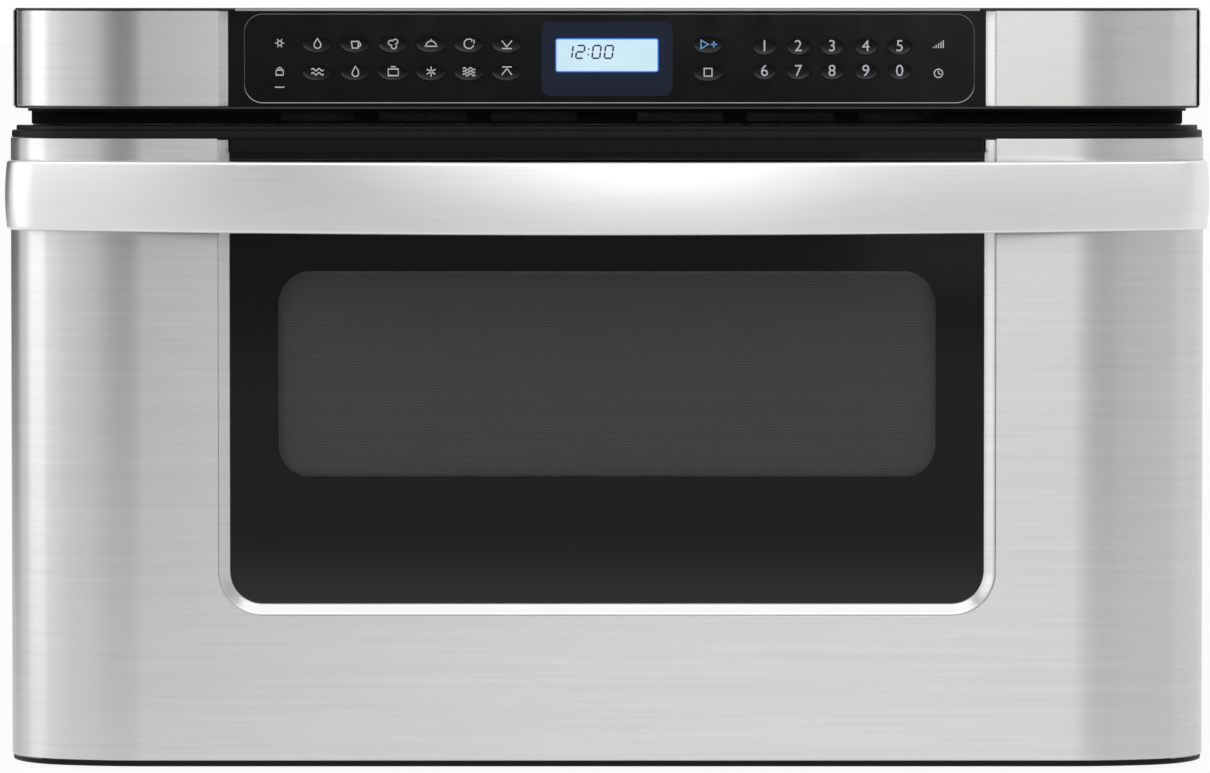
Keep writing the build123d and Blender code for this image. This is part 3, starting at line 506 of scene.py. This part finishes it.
trim_low, trim_high = corners("panel_trims")
panel_inset = trim_low.y - face_y
wing_bevel = [(0.0, 3.9), (0.1, 3.6), (0.3, 3.42), (0.7, 3.25), (1.2, 2.95), (3.8, 0.85), (4.3, 0.45),
              (4.7, 0.2), (5.1, 0.04), (5.4, 0.0)]
wing_stretch = 0.9
wing_hem = [(0.8, 0.0), (0.35, 0.08), (0.1, 0.3), (0.0, 0.7)]
wing_levels = [(inset, trim_low.z + rise) for inset, rise in wing_hem]
wing_levels += [(inset, trim_high.z - rise) for inset, rise in reversed(wing_hem)]
for side, name in ((-1, "left"), (1, "right")):
    rows = []
    for hem_inset, z in wing_levels:
        front = face_y + panel_inset + hem_inset
        row = [(window_half + out, front + depth, z) for out, depth in wing_bevel]
        row += [(x + wing_stretch * max(0, x - flat_half) / (trim_high.x - flat_half), y, z)
                for x, y in front_arc(panel_inset + hem_inset, trim_high.y)]
        rows.append([(side * x, y, z) for x, y, z in row])
    if side < 0:
        rows = [row[::-1] for row in rows]
    wing = piece("panel_wing_" + name, *strip(rows), "chassis", ["panel_trims"], "brushed_stainless",
                 brushed_steel)
    thicken(wing, "sheet_thickness", 0.0006)
    flat_shaded(wing)


# ---------------------------------------------------------------- control housing
# Black moulding that carries the wings and the key plate: its thin rims show above and below the
# wings. Here too are the louvre of the vent slot under it, darker and duller than the other
# mouldings as painted shade of the slot, black blocks at the slot's ends that put painted shade
# over the zinc flange behind, and a grey strip along the panel's top that is a painted highlight.

dress(mottled("black_polished_abs", "1C1C1D", 0.3, 0.24, 0.36, 1.5), "control_housing")
# The louvre's black is darker and duller than the housing's own: painted shade of the slot.
dress(mottled("black_abs_painted_slot_shade", "080809", 0.55, 0.48, 0.62, 1.5, specular=0.08), "vent_louvre")

# Black blocks at the slot's ends, just before the flange: painted shade, so that the zinc flange shows dark
# in the gap.
shade_block_x, shade_block_z = 288.0, 329.4
shade_block_half_x, shade_block_half_z, shade_block_corner = 4.6, 4.1, 0.8
for side, name in ((-1, "left"), (1, "right")):
    shade_block = round_box(shade_block_half_x, shade_block_half_z, shade_block_corner, side * shade_block_x, shade_block_z, 4)
    slab("gap_end_shade_block_" + name, [shade_block], flange_y - 1.6, flange_y - 0.05, "chassis", (), None,
         black_moulding, edge=0.4)

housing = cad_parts["control_housing"]
housing.modifiers.new("joined_facets", "WELD").merge_threshold = 0.00001
soften(housing, "soft_edge", 0.0009)

# A pale grey strip along the housing's top, in front of its rim: a painted highlight, as light from above
# gives on a rounded edge.
top_edge_highlight_paint = mottled("satin_painted_top_highlight", "A8A8A9", 0.35, 0.28, 0.42, 1.5)
rim_low, rim_high = corners("control_housing")
highlight_strip_half, highlight_strip_x = 187.6, 0.3
highlight_strip = round_box(highlight_strip_half, 0.6, 0.5, highlight_strip_x, rim_high.z - 0.8, 4)
slab("panel_top_painted_highlight", [highlight_strip], rim_low.y - 0.4, rim_low.y + 0.05, "chassis", (), None, top_edge_highlight_paint,
     edge=0.15)


# ---------------------------------------------------------------- key plate
# Gloss black face plate with an oval hole for each key. A thin grey line with round corners runs
# round the field of keys: a painted highlight of a step's edge there, dim at its sides and brighter
# along its bottom and a little at its top.

gloss_black, tree, shader = finish("gloss_black_abs", "0A0A0B", 0.09)
shader.inputs["Specular IOR Level"].default_value = 0.4
ripple = cloud(tree, 14, 14, 14)
emboss(tree, shader, ripple, 0.04, 0.0004)
roughen(tree, shader, ripple, 0.06, 0.12)

plate_low, plate_high = corners("panel_face")
window_box_low, window_box_high = corners("display_window")
panel_z = (plate_low.z + plate_high.z) / 2
plate_y = plate_low.y
key_names = ["program_key_%d" % place for place in range(1, 13)] + ["start_key", "stop_key"]
key_names += ["number_key_%d" % digit for digit in range(10)]
key_flange = 0.6


def key_spot(name):
    """Middle of a key and half its face's width and height, inside the flange behind the plate."""
    low, high = corners(name)
    half_x, half_z = (high.x - low.x) / 2 - key_flange, (high.z - low.z) / 2 - key_flange
    return (low.x + high.x) / 2, (low.z + high.z) / 2, half_x, half_z


def larger(tree, first, second):
    """The larger of two values."""
    return add(tree, "ShaderNodeMath", {"operation": "MAXIMUM"}, _0=first, _1=second).outputs["Value"]


def oval(x, z, half_x, half_z, steps=40):
    """Ellipse as (x, z) points."""
    turns = [2 * pi * step / steps for step in range(steps)]
    return [(x + half_x * cos(turn), z + half_z * sin(turn)) for turn in turns]


display_half_x = (window_box_high.x - window_box_low.x) / 2
display_half_z = (window_box_high.z - window_box_low.z) / 2
plate_half_x = (plate_high.x - plate_low.x) / 2
plate_half_z = (plate_high.z - plate_low.z) / 2
key_play = 0.15
plate_loops = [round_box(plate_half_x, plate_half_z, 0.4, 0, panel_z, 2)]
plate_loops.append(round_box(display_half_x + 0.1, display_half_z + 0.1, 4.0, 0, panel_z))
for name in key_names:
    x, z, half_x, half_z = key_spot(name)
    plate_loops.append(oval(x, z, half_x + key_play, half_z + key_play))
slab("key_plate", plate_loops, plate_y, plate_high.y, "chassis", ["panel_face"], "gloss_black", gloss_black,
     edge=0.28)

pale_print = mottled("pale_screen_print", "C9CCD0", 0.5, 0.42, 0.6, 1.2)
# Grey line round the key field, lighter along its bottom and a little at its top: a painted highlight of a
# step's edge.
edge_highlight_paint, tree, shader = finish("grey_painted_edge_highlight", "84868A", 0.4)
roughen(tree, shader, cloud(tree, 1.2, 1.2, 1.2), 0.32, 0.5)
line_x, line_half_x, line_half_z, line_corner, line_wide = 1.2, 184.3, 22.6, 9.4, 0.45
height = add(tree, "ShaderNodeSeparateXYZ", Vector=place_on(tree, 1, 1, 1)).outputs["Z"]
lit_bottom = spread(tree, height, 0.0, 1.0, From_Min=panel_z - line_half_z + line_corner,
                  From_Max=panel_z - line_half_z)
lit_top = spread(tree, height, 0.0, 0.3, From_Min=panel_z + line_half_z - line_corner,
                  From_Max=panel_z + line_half_z)
tint(tree, shader, larger(tree, lit_bottom, lit_top), "3A3B3D", "C6C8CB")
outer = round_box(line_half_x, line_half_z, line_corner, line_x, panel_z)
inner = round_box(line_half_x - line_wide, line_half_z - line_wide, line_corner - line_wide, line_x,
                  panel_z)
slab("key_field_line", [outer, inner], plate_y - 0.06, plate_y + 0.05, "chassis", (), None, edge_highlight_paint)


# ---------------------------------------------------------------- keys
# Twenty-four oval keys of satin black plastic, each a shallow dish within a round rim. They stand
# just proud of the plate, so each catches the light along its lower edge.

satin_black = mottled("satin_black_abs", "0E0E0F", 0.14, 0.11, 0.18, 3, specular=0.2)
# From the key's side over its rim into the dish: share of the half width and depth under the rim
key_profile = [(1.0, 1.6), (1.0, 0.12), (0.99, 0.03), (0.97, 0.0), (0.94, 0.04), (0.88, 0.08), (0.78, 0.11),
               (0.45, 0.13), (0.02, 0.135)]
mark_depth = 0.09


def key_dish(name):
    """Face with a shallow dish, over straight oval sides."""
    x, z, half_x, half_z = key_spot(name)
    top_y = corners(name)[0].y
    rows = []
    for share, depth in key_profile:
        ring = oval(x, z, half_x * share, half_z * share, 36)
        rows.append([(px, top_y + depth, pz) for px, pz in ring + ring[:1]])
    return strip(rows)


for name in key_names:
    piece(name + "_cap", *key_dish(name), name + "_body", [name], "gloss_black", satin_black, sharp=60)


# ---------------------------------------------------------------- marks on the keys
# Screen print, pale and on the start key blue: plain numbers on the number keys, and line signs on
# the others and on the four flat pads at the ends, which are part of the plate.

def arc(x, z, radius, start, end, steps=14):
    """Points of an arc, angles in degrees from the right."""
    turns = [radians(start + (end - start) * step / steps) for step in range(steps + 1)]
    return [(x + radius * cos(turn), z + radius * sin(turn)) for turn in turns]


def strokes(lines, wide, y, x=0.0, z=0.0):
    """Points and faces of flat pen strokes along lines of (x, z) points."""
    points, faces = [], []
    for line in lines:
        first = len(points)
        closed = line[0] == line[-1]
        for place, (px, pz) in enumerate(line):
            before = line[place - 1] if place else (line[-2] if closed else line[0])
            after = line[place + 1] if place < len(line) - 1 else (line[1] if closed else line[-1])
            way = Vector((after[0] - before[0], after[1] - before[1])).normalized()
            near = Vector((px - before[0], pz - before[1]))
            along = max(abs(near.normalized().dot(way)), 0.5)
            stretch = 1.0 if near.length < 1e-6 else min(1.0 / along, 1.5)
            reach = wide / 2 * stretch
            points += [(x + px - way.y * reach, y, z + pz + way.x * reach),
                       (x + px + way.y * reach, y, z + pz - way.x * reach)]
        for place in range(len(line) - 1):
            start = first + 2 * place
            faces.append((start, start + 1, start + 3, start + 2))
    return points, faces


def marked(name, body, lines, wide, y, x, z, material):
    """A sign in flat pen strokes, on a body of the frame."""
    piece(name, *strokes(lines, wide, y, x, z), body, (), None, material)


def wave_line(z):
    """Short wave, two periods long."""
    return [(-2.7 + 5.4 * step / 24, z + 0.5 * sin(4 * pi * step / 24)) for step in range(25)]


drop = [(0, 2.3)] + arc(0, -0.5, 1.5, 150, 390) + [(0, 2.3)]
cup = [(-1.7, 1.0), (-1.3, -1.9), (1.1, -1.9), (1.5, 1.0), (-1.7, 1.0)]
flame = [(0, 2.4), (1.3, 0.4)] + arc(0, -0.7, 1.4, 25, -205) + [(0, 2.4)]
clock = arc(0, 0, 2.1, 0, 360, 24)
box = [(-2.2, -1.7), (2.2, -1.7), (2.2, 1.2), (-2.2, 1.2), (-2.2, -1.7)]
flake = [[(2.2 * cos(turn), 2.2 * sin(turn)), (-2.2 * cos(turn), -2.2 * sin(turn))]
         for turn in (pi / 2, pi / 6, -pi / 6)]
kernel = [arc(-1.0, 0.4, 1.1, 40, 300), arc(0.9, 0.9, 1.1, -100, 170), arc(0.3, -1.1, 1.1, 160, 380)]
key_signs = {
    "program_key_1": [drop], "program_key_2": [wave_line(0.9), wave_line(-0.9)],
    "program_key_3": [cup, arc(1.4, -0.4, 0.9, -80, 80)], "program_key_4": [flame],
    "program_key_5": kernel, "program_key_6": [box, [(-1.1, 2.2), (1.1, 2.2)]],
    "program_key_7": [arc(0, -1.1, 2.3, 0, 180), [(-2.8, -1.1), (2.8, -1.1)], [(0, 1.3), (0, 2.1)]],
    "program_key_8": flake, "program_key_9": [clock[2:-1], [(1.0, 1.0), (2.3, 1.5), (2.2, 0.1)]],
    "program_key_10": [wave_line(1.3), wave_line(0), wave_line(-1.3)],
    "program_key_11": [[(-2.2, 1.4), (0, -1.4), (2.2, 1.4)], [(-2.2, -2.1), (2.2, -2.1)]],
    "program_key_12": [[(-2.2, -1.4), (0, 1.4), (2.2, -1.4)], [(-2.2, 2.1), (2.2, 2.1)]],
    "stop_key": [[(-1.7, -1.7), (1.7, -1.7), (1.7, 1.7), (-1.7, 1.7), (-1.7, -1.7)]]}
sign_scale, sign_wide, start_wide, pad_wide = 1.15, 0.62, 0.75, 0.6
for name, lines in key_signs.items():
    x, z, _, _ = key_spot(name)
    lines = [[(sign_scale * px, sign_scale * pz) for px, pz in line] for line in lines]
    mark_y = corners(name)[0].y + mark_depth
    marked(name + "_sign", name + "_body", lines, sign_wide, mark_y, x, z, pale_print)

blue_print = mottled("blue_screen_print", "6FB4F0", 0.5, 0.42, 0.6, 1.2)
x, z, _, _ = key_spot("start_key")
triangle = [(-3.6, -2.1), (-3.6, 2.1), (0.2, 0), (-3.6, -2.1)]
plus = [[(1.4, 0), (4.4, 0)], [(2.9, 1.5), (2.9, -1.5)]]
marked("start_key_sign", "start_key_body", [triangle] + plus, start_wide,
       corners("start_key")[0].y + mark_depth, x, z, blue_print)

pad_left, pad_right = -165.1, 167.2
pad_signs = {
    "pad_cog": (pad_left, 366.5, [arc(0, 0, 1.1, 0, 360, 18)]
                + [[(1.6 * cos(turn), 1.6 * sin(turn)), (2.3 * cos(turn), 2.3 * sin(turn))]
                   for turn in [pi / 3 * step for step in range(6)]]),
    "pad_lock": (pad_left, 352.4, [[(-1.8, -2.0), (1.8, -2.0), (1.8, 0.5), (-1.8, 0.5), (-1.8, -2.0)],
                                 arc(0, 0.6, 1.2, 0, 180)]),
    "pad_lock_dash": (pad_left, 344.3, [[(-2.4, 0), (2.4, 0)]]),
    "pad_bars": (pad_right, 366.0, [[(-2.4 + 1.2 * step, -2), (-2.4 + 1.2 * step, -1.2 + 0.8 * step)]
                                    for step in range(5)]),
    "pad_clock": (pad_right, 351.3, [clock, [(0, 1.3), (0, 0), (1.0, -0.6)]])}
for name, (x, z, lines) in pad_signs.items():
    marked(name, "chassis", lines, pad_wide, plate_y - 0.03, x, z, pale_print)

number_size = 0.0082
for digit in range(10):
    name = "number_key_%d" % digit
    x, z, _, _ = key_spot(name)
    word = bpy.data.curves.new(name + "_number", "FONT")
    word.body = str(digit)
    word.size = number_size
    word.align_x = "CENTER"
    word.align_y = "CENTER"
    word.extrude = 0.00002
    number = linked(name + "_number", word)
    number.location = Vector((x, corners(name)[0].y + mark_depth, z)) * 0.001
    number.rotation_euler = (pi / 2, 0, 0)
    word.materials.append(pale_print)
    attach(number, name + "_body")


# ---------------------------------------------------------------- display
# Navy window pane with a backlit liquid-crystal panel in its upper half, showing a plain clock. A
# thin rim of blue light runs round the panel.

def backlit(name, colour, roughness, light, low):
    """A film lit from behind, its light as hex, with a strength from low to 1 that wanders a little."""
    material, tree, shader = finish(name, colour, roughness)
    level = spread(tree, cloud(tree, 22, 22, 9, 1.0), low, 1.0)
    tree.links.new(level, shader.inputs["Emission Strength"])
    shader.inputs["Emission Color"].default_value = linear(light)
    return material


def speckled(name, colour, roughness, low, high, size, detail=2.0):
    """A material whose colour wanders from low to high, in clouds of size millimetres."""
    material, tree, shader = finish(name, colour, roughness)
    tint(tree, shader, cloud(tree, size, size, size, detail), low, high)
    return material


dress(mottled("navy_tinted_acrylic", "20283D", 0.06, 0.05, 0.09, 9), "display_window")
glow = backlit("backlit_crystal_panel", "2C4450", 0.25, "CDE8F5", 0.84)
rim_glow = backlit("blue_backlight_rim", "1A5FC8", 0.3, "2A78E0", 0.75)
segment_ink = speckled("dark_crystal_segments", "10283C", 0.3, "0C2236", "183248", 4, 1.0)

crystal_z = 360.4
crystal_half_x, crystal_half_z, crystal_edge = 25.4, 7.9, 0.6
pane_y = window_box_low.y


def label(name, loops, material, rise):
    """Thin print or film on the window pane, rise millimetres proud of it."""
    slab(name, loops, pane_y - rise, pane_y + 0.03, "chassis", (), None, material)


crystal_rim = round_box(crystal_half_x + crystal_edge, crystal_half_z + crystal_edge, 1.3, 0, crystal_z)
label("crystal_rim", [crystal_rim], rim_glow, 0.03)
label("crystal_panel", [round_box(crystal_half_x, crystal_half_z, 0.8, 0, crystal_z)], glow, 0.06)

# Bars of a seven-segment digit, from one end to the other in half digits
segments = {"a": (0, 1, 1, 1), "b": (1, 1, 1, 0), "c": (1, 0, 1, -1), "d": (0, -1, 1, -1),
            "e": (0, 0, 0, -1), "f": (0, 1, 0, 0), "g": (0, 0, 1, 0)}
lit = {"1": "bc", "2": "abged", "0": "abcdef"}
digit_wide, digit_half, stroke, slant = 3.9, 3.2, 0.43, 0.12
bar_gap, bar_point = 0.15, 0.5
clock_z = crystal_z + 1.7


def segment_loop(x, z, start_x, start_z, end_x, end_z):
    """One bar of a seven-segment digit, with pointed ends, leaning to the right."""
    ax, az = start_x * digit_wide, start_z * digit_half
    bx, bz = end_x * digit_wide, end_z * digit_half
    long = sqrt((bx - ax) ** 2 + (bz - az) ** 2)
    ux, uz = (bx - ax) / long, (bz - az) / long
    start, end = bar_point, long - bar_point
    bar = [(bar_gap, 0), (start, stroke), (end, stroke), (long - bar_gap, 0), (end, -stroke),
           (start, -stroke)]
    loop = [(ax + ux * along - uz * off, az + uz * along + ux * off) for along, off in bar]
    return [(x + px + slant * pz, z + pz) for px, pz in loop]


digit_places = [("1", -21.3), ("2", -15.4), ("0", -7.2), ("0", -1.0)]
for place, (digit, x) in enumerate(digit_places):
    for bar in lit[digit]:
        loop = segment_loop(x, clock_z, *segments[bar])
        label("clock_%d_%s" % (place, bar), [loop], segment_ink, 0.09)
for rise in (-1.4, 1.4):
    dot = round_box(0.4, 0.4, 0.1, -9.3 + slant * rise, clock_z + rise, 2)
    label("clock_dot_%s" % ("low" if rise < 0 else "high"), [dot], segment_ink, 0.09)


# ---------------------------------------------------------------- chassis
# Zinc-plated sheet: front flange with the cavity's mouth, base pan on four feet, outer wrap and
# rear panel. Here too are the finishes of the solids inside it, which are shown as they are in
# the frame.

def crystals(tree, size):
    """Patches of size millimetres, as a distance from their middles and a colour each."""
    spot = place_on(tree, size, size, size)
    kind = {"feature": "F1"}
    return add(tree, "ShaderNodeTexVoronoi", kind, Vector=spot, Scale=1.0, Randomness=1.0).outputs


zinc_sheet, tree, shader = finish("zinc_plated_sheet", "A9ACAE", 0.38, metallic=1.0)
spangle = crystals(tree, 9)
tint(tree, shader, spangle["Color"], "A2A5A7", "B3B6B8")
roughen(tree, shader, spangle["Distance"], 0.34, 0.46)
dress(zinc_sheet, "front_flange", "base_pan", "outer_wrap", "rear_panel", "stirrer_motor", "door_frame",
      "outer_rails", "middle_rails", "inner_rails")
dress(black_moulding, "cord_gland", "fan_shroud", "door_liner")

mica_sheet, tree, shader = finish("pressed_mica_sheet", "CFC8B6", 0.5)
tint(tree, shader, crystals(tree, 5)["Color"], "C4BDA9", "DAD4C4")
dress(mica_sheet, "stirrer_cover")

varnished_iron, tree, shader = finish("varnished_iron_laminations", "35363A", 0.45)
spot = place_on(tree, 8, 8, 8)
sheets = add(tree, "ShaderNodeTexWave", {"bands_direction": "Y"}, Vector=spot, Scale=1.0)
tint(tree, shader, sheets.outputs["Fac"], "2A2B2E", "424448")
dress(varnished_iron, "transformer", "drawer_motor")

dress(speckled("grey_vitreous_enamel", "8B8E90", 0.28, "7D8082", "97999B", 1.4), "oven_cavity")
dress(speckled("green_solder_mask", "1B4D30", 0.35, "163F28", "22593A", 6), "control_board")
dress(mottled("grey_moulded_polypropylene", "A2A4A6", 0.4, 0.34, 0.48, 1.0), "drawer_tub", "cooling_fan")
dress(mottled("opal_glass_ceramic", "E6E6E1", 0.08, 0.06, 0.12, 30), "floor_plate")
dress(mottled("pressed_aluminium", "C9CBCC", 0.32, 0.26, 0.38, 12, 1.0), "stirrer", "magnetron")
dress(mottled("red_moulded_nylon", "9B2119", 0.42, 0.36, 0.5, 0.8), "interlock_switches")
dress(mottled("white_moulded_acetal", "E4E4DF", 0.36, 0.3, 0.42, 2), "drive_rack", "drive_pinion")


# ---------------------------------------------------------------- screws and plate
# Zinc-plated cross-head screws: pan heads on the wrap and rear panel, and flush heads on the flange,
# half a millimetre behind the shut door. A bare foil plate is glued on behind.

bright_zinc = mottled("bright_zinc_plated_steel", "C4C7CA", 0.28, 0.22, 0.36, 2, 1.0)
foil, tree, shader = finish("satin_polyester_foil", "E2E3E3", 0.4)
roughen(tree, shader, cloud(tree, 6, 1, 0.5), 0.3, 0.42)

# Rings of a head from the middle of its recess out to its seat: share of the radius, share of the
# height, and whether the ring has the recess's cross shape
head_rings = [(0.04, 0.2, False), (0.46, 0.3, True), (0.5, 0.96, True), (0.66, 0.86, False),
              (0.88, 0.6, False), (0.98, 0.3, False), (1.0, 0.0, False)]
ring_steps = 32
# The cross from the tip of an arm to the corner between two, as shares of the ring's radius
cross_reach = (1.0, 0.98, 0.42, 0.32, 0.3)


def screw_heads(name, spots, way, body, radius=3.6, height=2.0):
    """Cross-head screw heads as one piece, at spots on a surface that faces way."""
    way = Vector(way)
    side = way.orthogonal().normalized()
    up = way.cross(side)
    points, faces = [], []
    for spot in spots:
        rows = []
        for reach, rise, crossed in head_rings:
            ring = []
            for step in range(ring_steps + 1):
                turn = 2 * pi * step / ring_steps
                across = min(step % 8, 8 - step % 8)
                share = reach * (cross_reach[across] if crossed else 1.0)
                ring.append(Vector(spot) + way * (rise * height)
                            + (side * cos(turn) + up * sin(turn)) * (share * radius))
            rows.append(ring)
        head_points, head_faces = strip(rows)
        faces += [tuple(len(points) + place for place in face) for face in head_faces]
        points += head_points
    piece(name, points, faces, body, (), None, bright_zinc)


wrap_high = corners("outer_wrap")[1]
back_y = corners("rear_panel")[1].y
rear_spots = [(x, back_y, z) for x in (-262, -88, 88, 262) for z in (14, 360)]
rear_spots += [(x, back_y, z) for x in (-268, 268) for z in (128, 246)]
screw_heads("rear_panel_screws", rear_spots, (0, 1, 0), "chassis")
for side, name in ((-1, "left"), (1, "right")):
    side_spots = [(side * wrap_high.x, y, z) for y in (-228, 294) for z in (44, 190, 336)]
    screw_heads("wrap_screws_" + name, side_spots, (side, 0, 0), "chassis")
top_spots = [(x, 296, wrap_high.z) for x in (-240, 0, 240)]
screw_heads("wrap_screws_top", top_spots, (0, 0, 1), "chassis")
flange_spots = [(x, flange_y, z) for x in (-245, 245) for z in (118, 286)]
screw_heads("flange_flush_screws", flange_spots, (0, -1, 0), "chassis", radius=3.4, height=0.15)

foil_x, foil_z, foil_half_x, foil_half_z = 60, 96, 46, 26
foil_plate = round_box(foil_half_x, foil_half_z, 2.5, foil_x, foil_z)
slab("bare_foil_plate", [foil_plate], back_y + 0.12, back_y - 0.02, "chassis", (), None, foil)


# ---------------------------------------------------------------- stage
# Pale floor and white air, with soft boxes to the left, above and in front and a tall weak one on
# the right. Dark flags stand behind the camera, on the floor before it, by the left wing and at the
# back on the left, and a thin scrim on the right.

def card(name, points, material, camera_sees=True):
    """A flat piece of the studio, from corners in metres."""
    mesh = bpy.data.meshes.new(name)
    mesh.from_pydata(points, [], [tuple(range(len(points)))])
    made = linked(name, mesh)
    mesh.materials.append(material)
    made.visible_camera = camera_sees


def upright(name, left, right, low, high, material):
    """A standing card between two (x, y) places and two heights, which the camera doesn't see."""
    foot = [(*left, low), (*right, low)]
    card(name, foot + [(*right, high), (*left, high)], material, False)


def layered(tree, share, below, above):
    """Mixes two shaders, from the lower to the upper one with the share, into the surface."""
    blend = add(tree, "ShaderNodeMixShader", _0=share, _1=below, _2=above)
    tree.links.new(blend.outputs["Shader"], tree.nodes["Material Output"].inputs["Surface"])


def white_to_the_eye(tree):
    """1 for rays that come from the camera, or by way of a mirror or glass, and 0 for other light."""
    rays = add(tree, "ShaderNodeLightPath").outputs
    straight = larger(tree, rays["Is Camera Ray"], rays["Is Transmission Ray"])
    return larger(tree, straight, rays["Is Glossy Ray"])


floor_paint, tree, shader = finish("studio_floor", "EDEDED", 0.7)
white = add(tree, "ShaderNodeEmission", Color=(1.0, 1.0, 1.0, 1.0), Strength=1.0)
seen = add(tree, "ShaderNodeMath", {"operation": "MULTIPLY"}, _0=white_to_the_eye(tree), _1=0.93)
layered(tree, seen.outputs["Value"], shader.outputs["BSDF"], white.outputs["Emission"])
reach, drop_z = 40, -0.001
card("floor", [(-reach, -reach, drop_z), (reach, -reach, drop_z), (reach, reach, drop_z),
               (-reach, reach, drop_z)], floor_paint)

world = bpy.data.worlds.new("studio_air")
bpy.context.scene.world = world
world.use_nodes = True
tree = world.node_tree
white_share = white_to_the_eye(tree)
blend = add(tree, "ShaderNodeMix", {"data_type": "RGBA"}, _0=white_share, _6=(0.55, 0.55, 0.55, 1.0),
            _7=(1.0, 1.0, 1.0, 1.0))
tree.links.new(blend.outputs[2], tree.nodes["Background"].inputs["Color"])

black_cloth = finish("dark_flag_cloth", "58585A", 0.9)[0]
grey_wall = finish("grey_studio_wall", "A5A6A8", 0.9)[0]
mat_cloth, tree, shader = finish("dark_floor_cloth", "858587", 0.9)
mat_near, mat_far = -0.75, -1.7
place = add(tree, "ShaderNodeSeparateXYZ", Vector=add(tree, "ShaderNodeTexCoord").outputs["Object"])
share = spread(tree, place.outputs["Y"], 0.0, 1.0, From_Min=mat_near, From_Max=mat_far)
clear = add(tree, "ShaderNodeBsdfTransparent")
layered(tree, share, clear.outputs["BSDF"], shader.outputs["BSDF"])
mat_z = 0.003
card("floor_cloth", [(-1.2, -6.4, mat_z), (1.2, -6.4, mat_z), (1.2, mat_near, mat_z),
                     (-1.2, mat_near, mat_z)], mat_cloth, False)
scrim_cloth, tree, shader = finish("thin_scrim_cloth", "5C5C5E", 0.9)
clear = add(tree, "ShaderNodeBsdfTransparent")
layered(tree, 0.25, clear.outputs["BSDF"], shader.outputs["BSDF"])
upright("camera_wall", (-3, -6.5), (3, -6.5), 0, 0.5, grey_wall)
upright("camera_flag", (-2.0, -5.5), (0.26, -5.5), 0, 0.45, grey_wall)
upright("wing_flag", (-0.53, -1.0), (-0.31, -1.0), 0.36, 0.8, black_cloth)
upright("scrim_right", (0.95, -3.5), (3.5, -1.0), 0, 2.2, scrim_cloth)
upright("back_flag", (-2.4, 0.9), (-1.2, 2.4), 0, 2.2, black_cloth)


def soft_box(name, azimuth, height, distance, wide, tall, watts):
    """Area lamp aimed at the part from an azimuth, in degrees to the right of straight ahead."""
    data = bpy.data.lights.new(name, "AREA")
    data.shape = "RECTANGLE"
    data.size, data.size_y, data.energy = wide, tall, watts
    made = linked(name, data)
    spot = Vector((distance * sin(radians(azimuth)), -distance * cos(radians(azimuth)), height))
    made.location = spot
    made.rotation_euler = (Vector((0, -0.2, 0.2)) - spot).to_track_quat("-Z", "Y").to_euler()


soft_box("soft_box_left", -76, 0.9, 2.3, 1.2, 2.0, 6.0)
soft_box("wide_box_left", -66, 0.9, 2.9, 2.9, 2.4, 8.0)
soft_box("soft_box_front", 3.0, 1.15, 4.3, 1.1, 1.4, 9.5)
soft_box("panel_right", 7.9, 1.4, 4.34, 0.74, 2.8, 1.1)
soft_box("soft_box_top", 0, 2.4, 1.5, 3.0, 1.4, 18.0)


# ---------------------------------------------------------------- camera
# Long lens from a little above the control panel, square to the front, with the view lowered onto
# the part by a small shift.

lens = bpy.data.cameras.new("product_view")
lens.sensor_width = 36.0
lens.lens = 218.6
lens.shift_y = -0.10
lens.dof.use_dof = False
camera = linked("product_view", lens)
camera.location = (-0.001, -3.985, 0.40)
look_down = 2.251
camera.rotation_euler = (radians(90 - look_down), 0, 0)
bpy.context.scene.camera = camera
bpy.context.scene.view_settings.view_transform = "Standard"
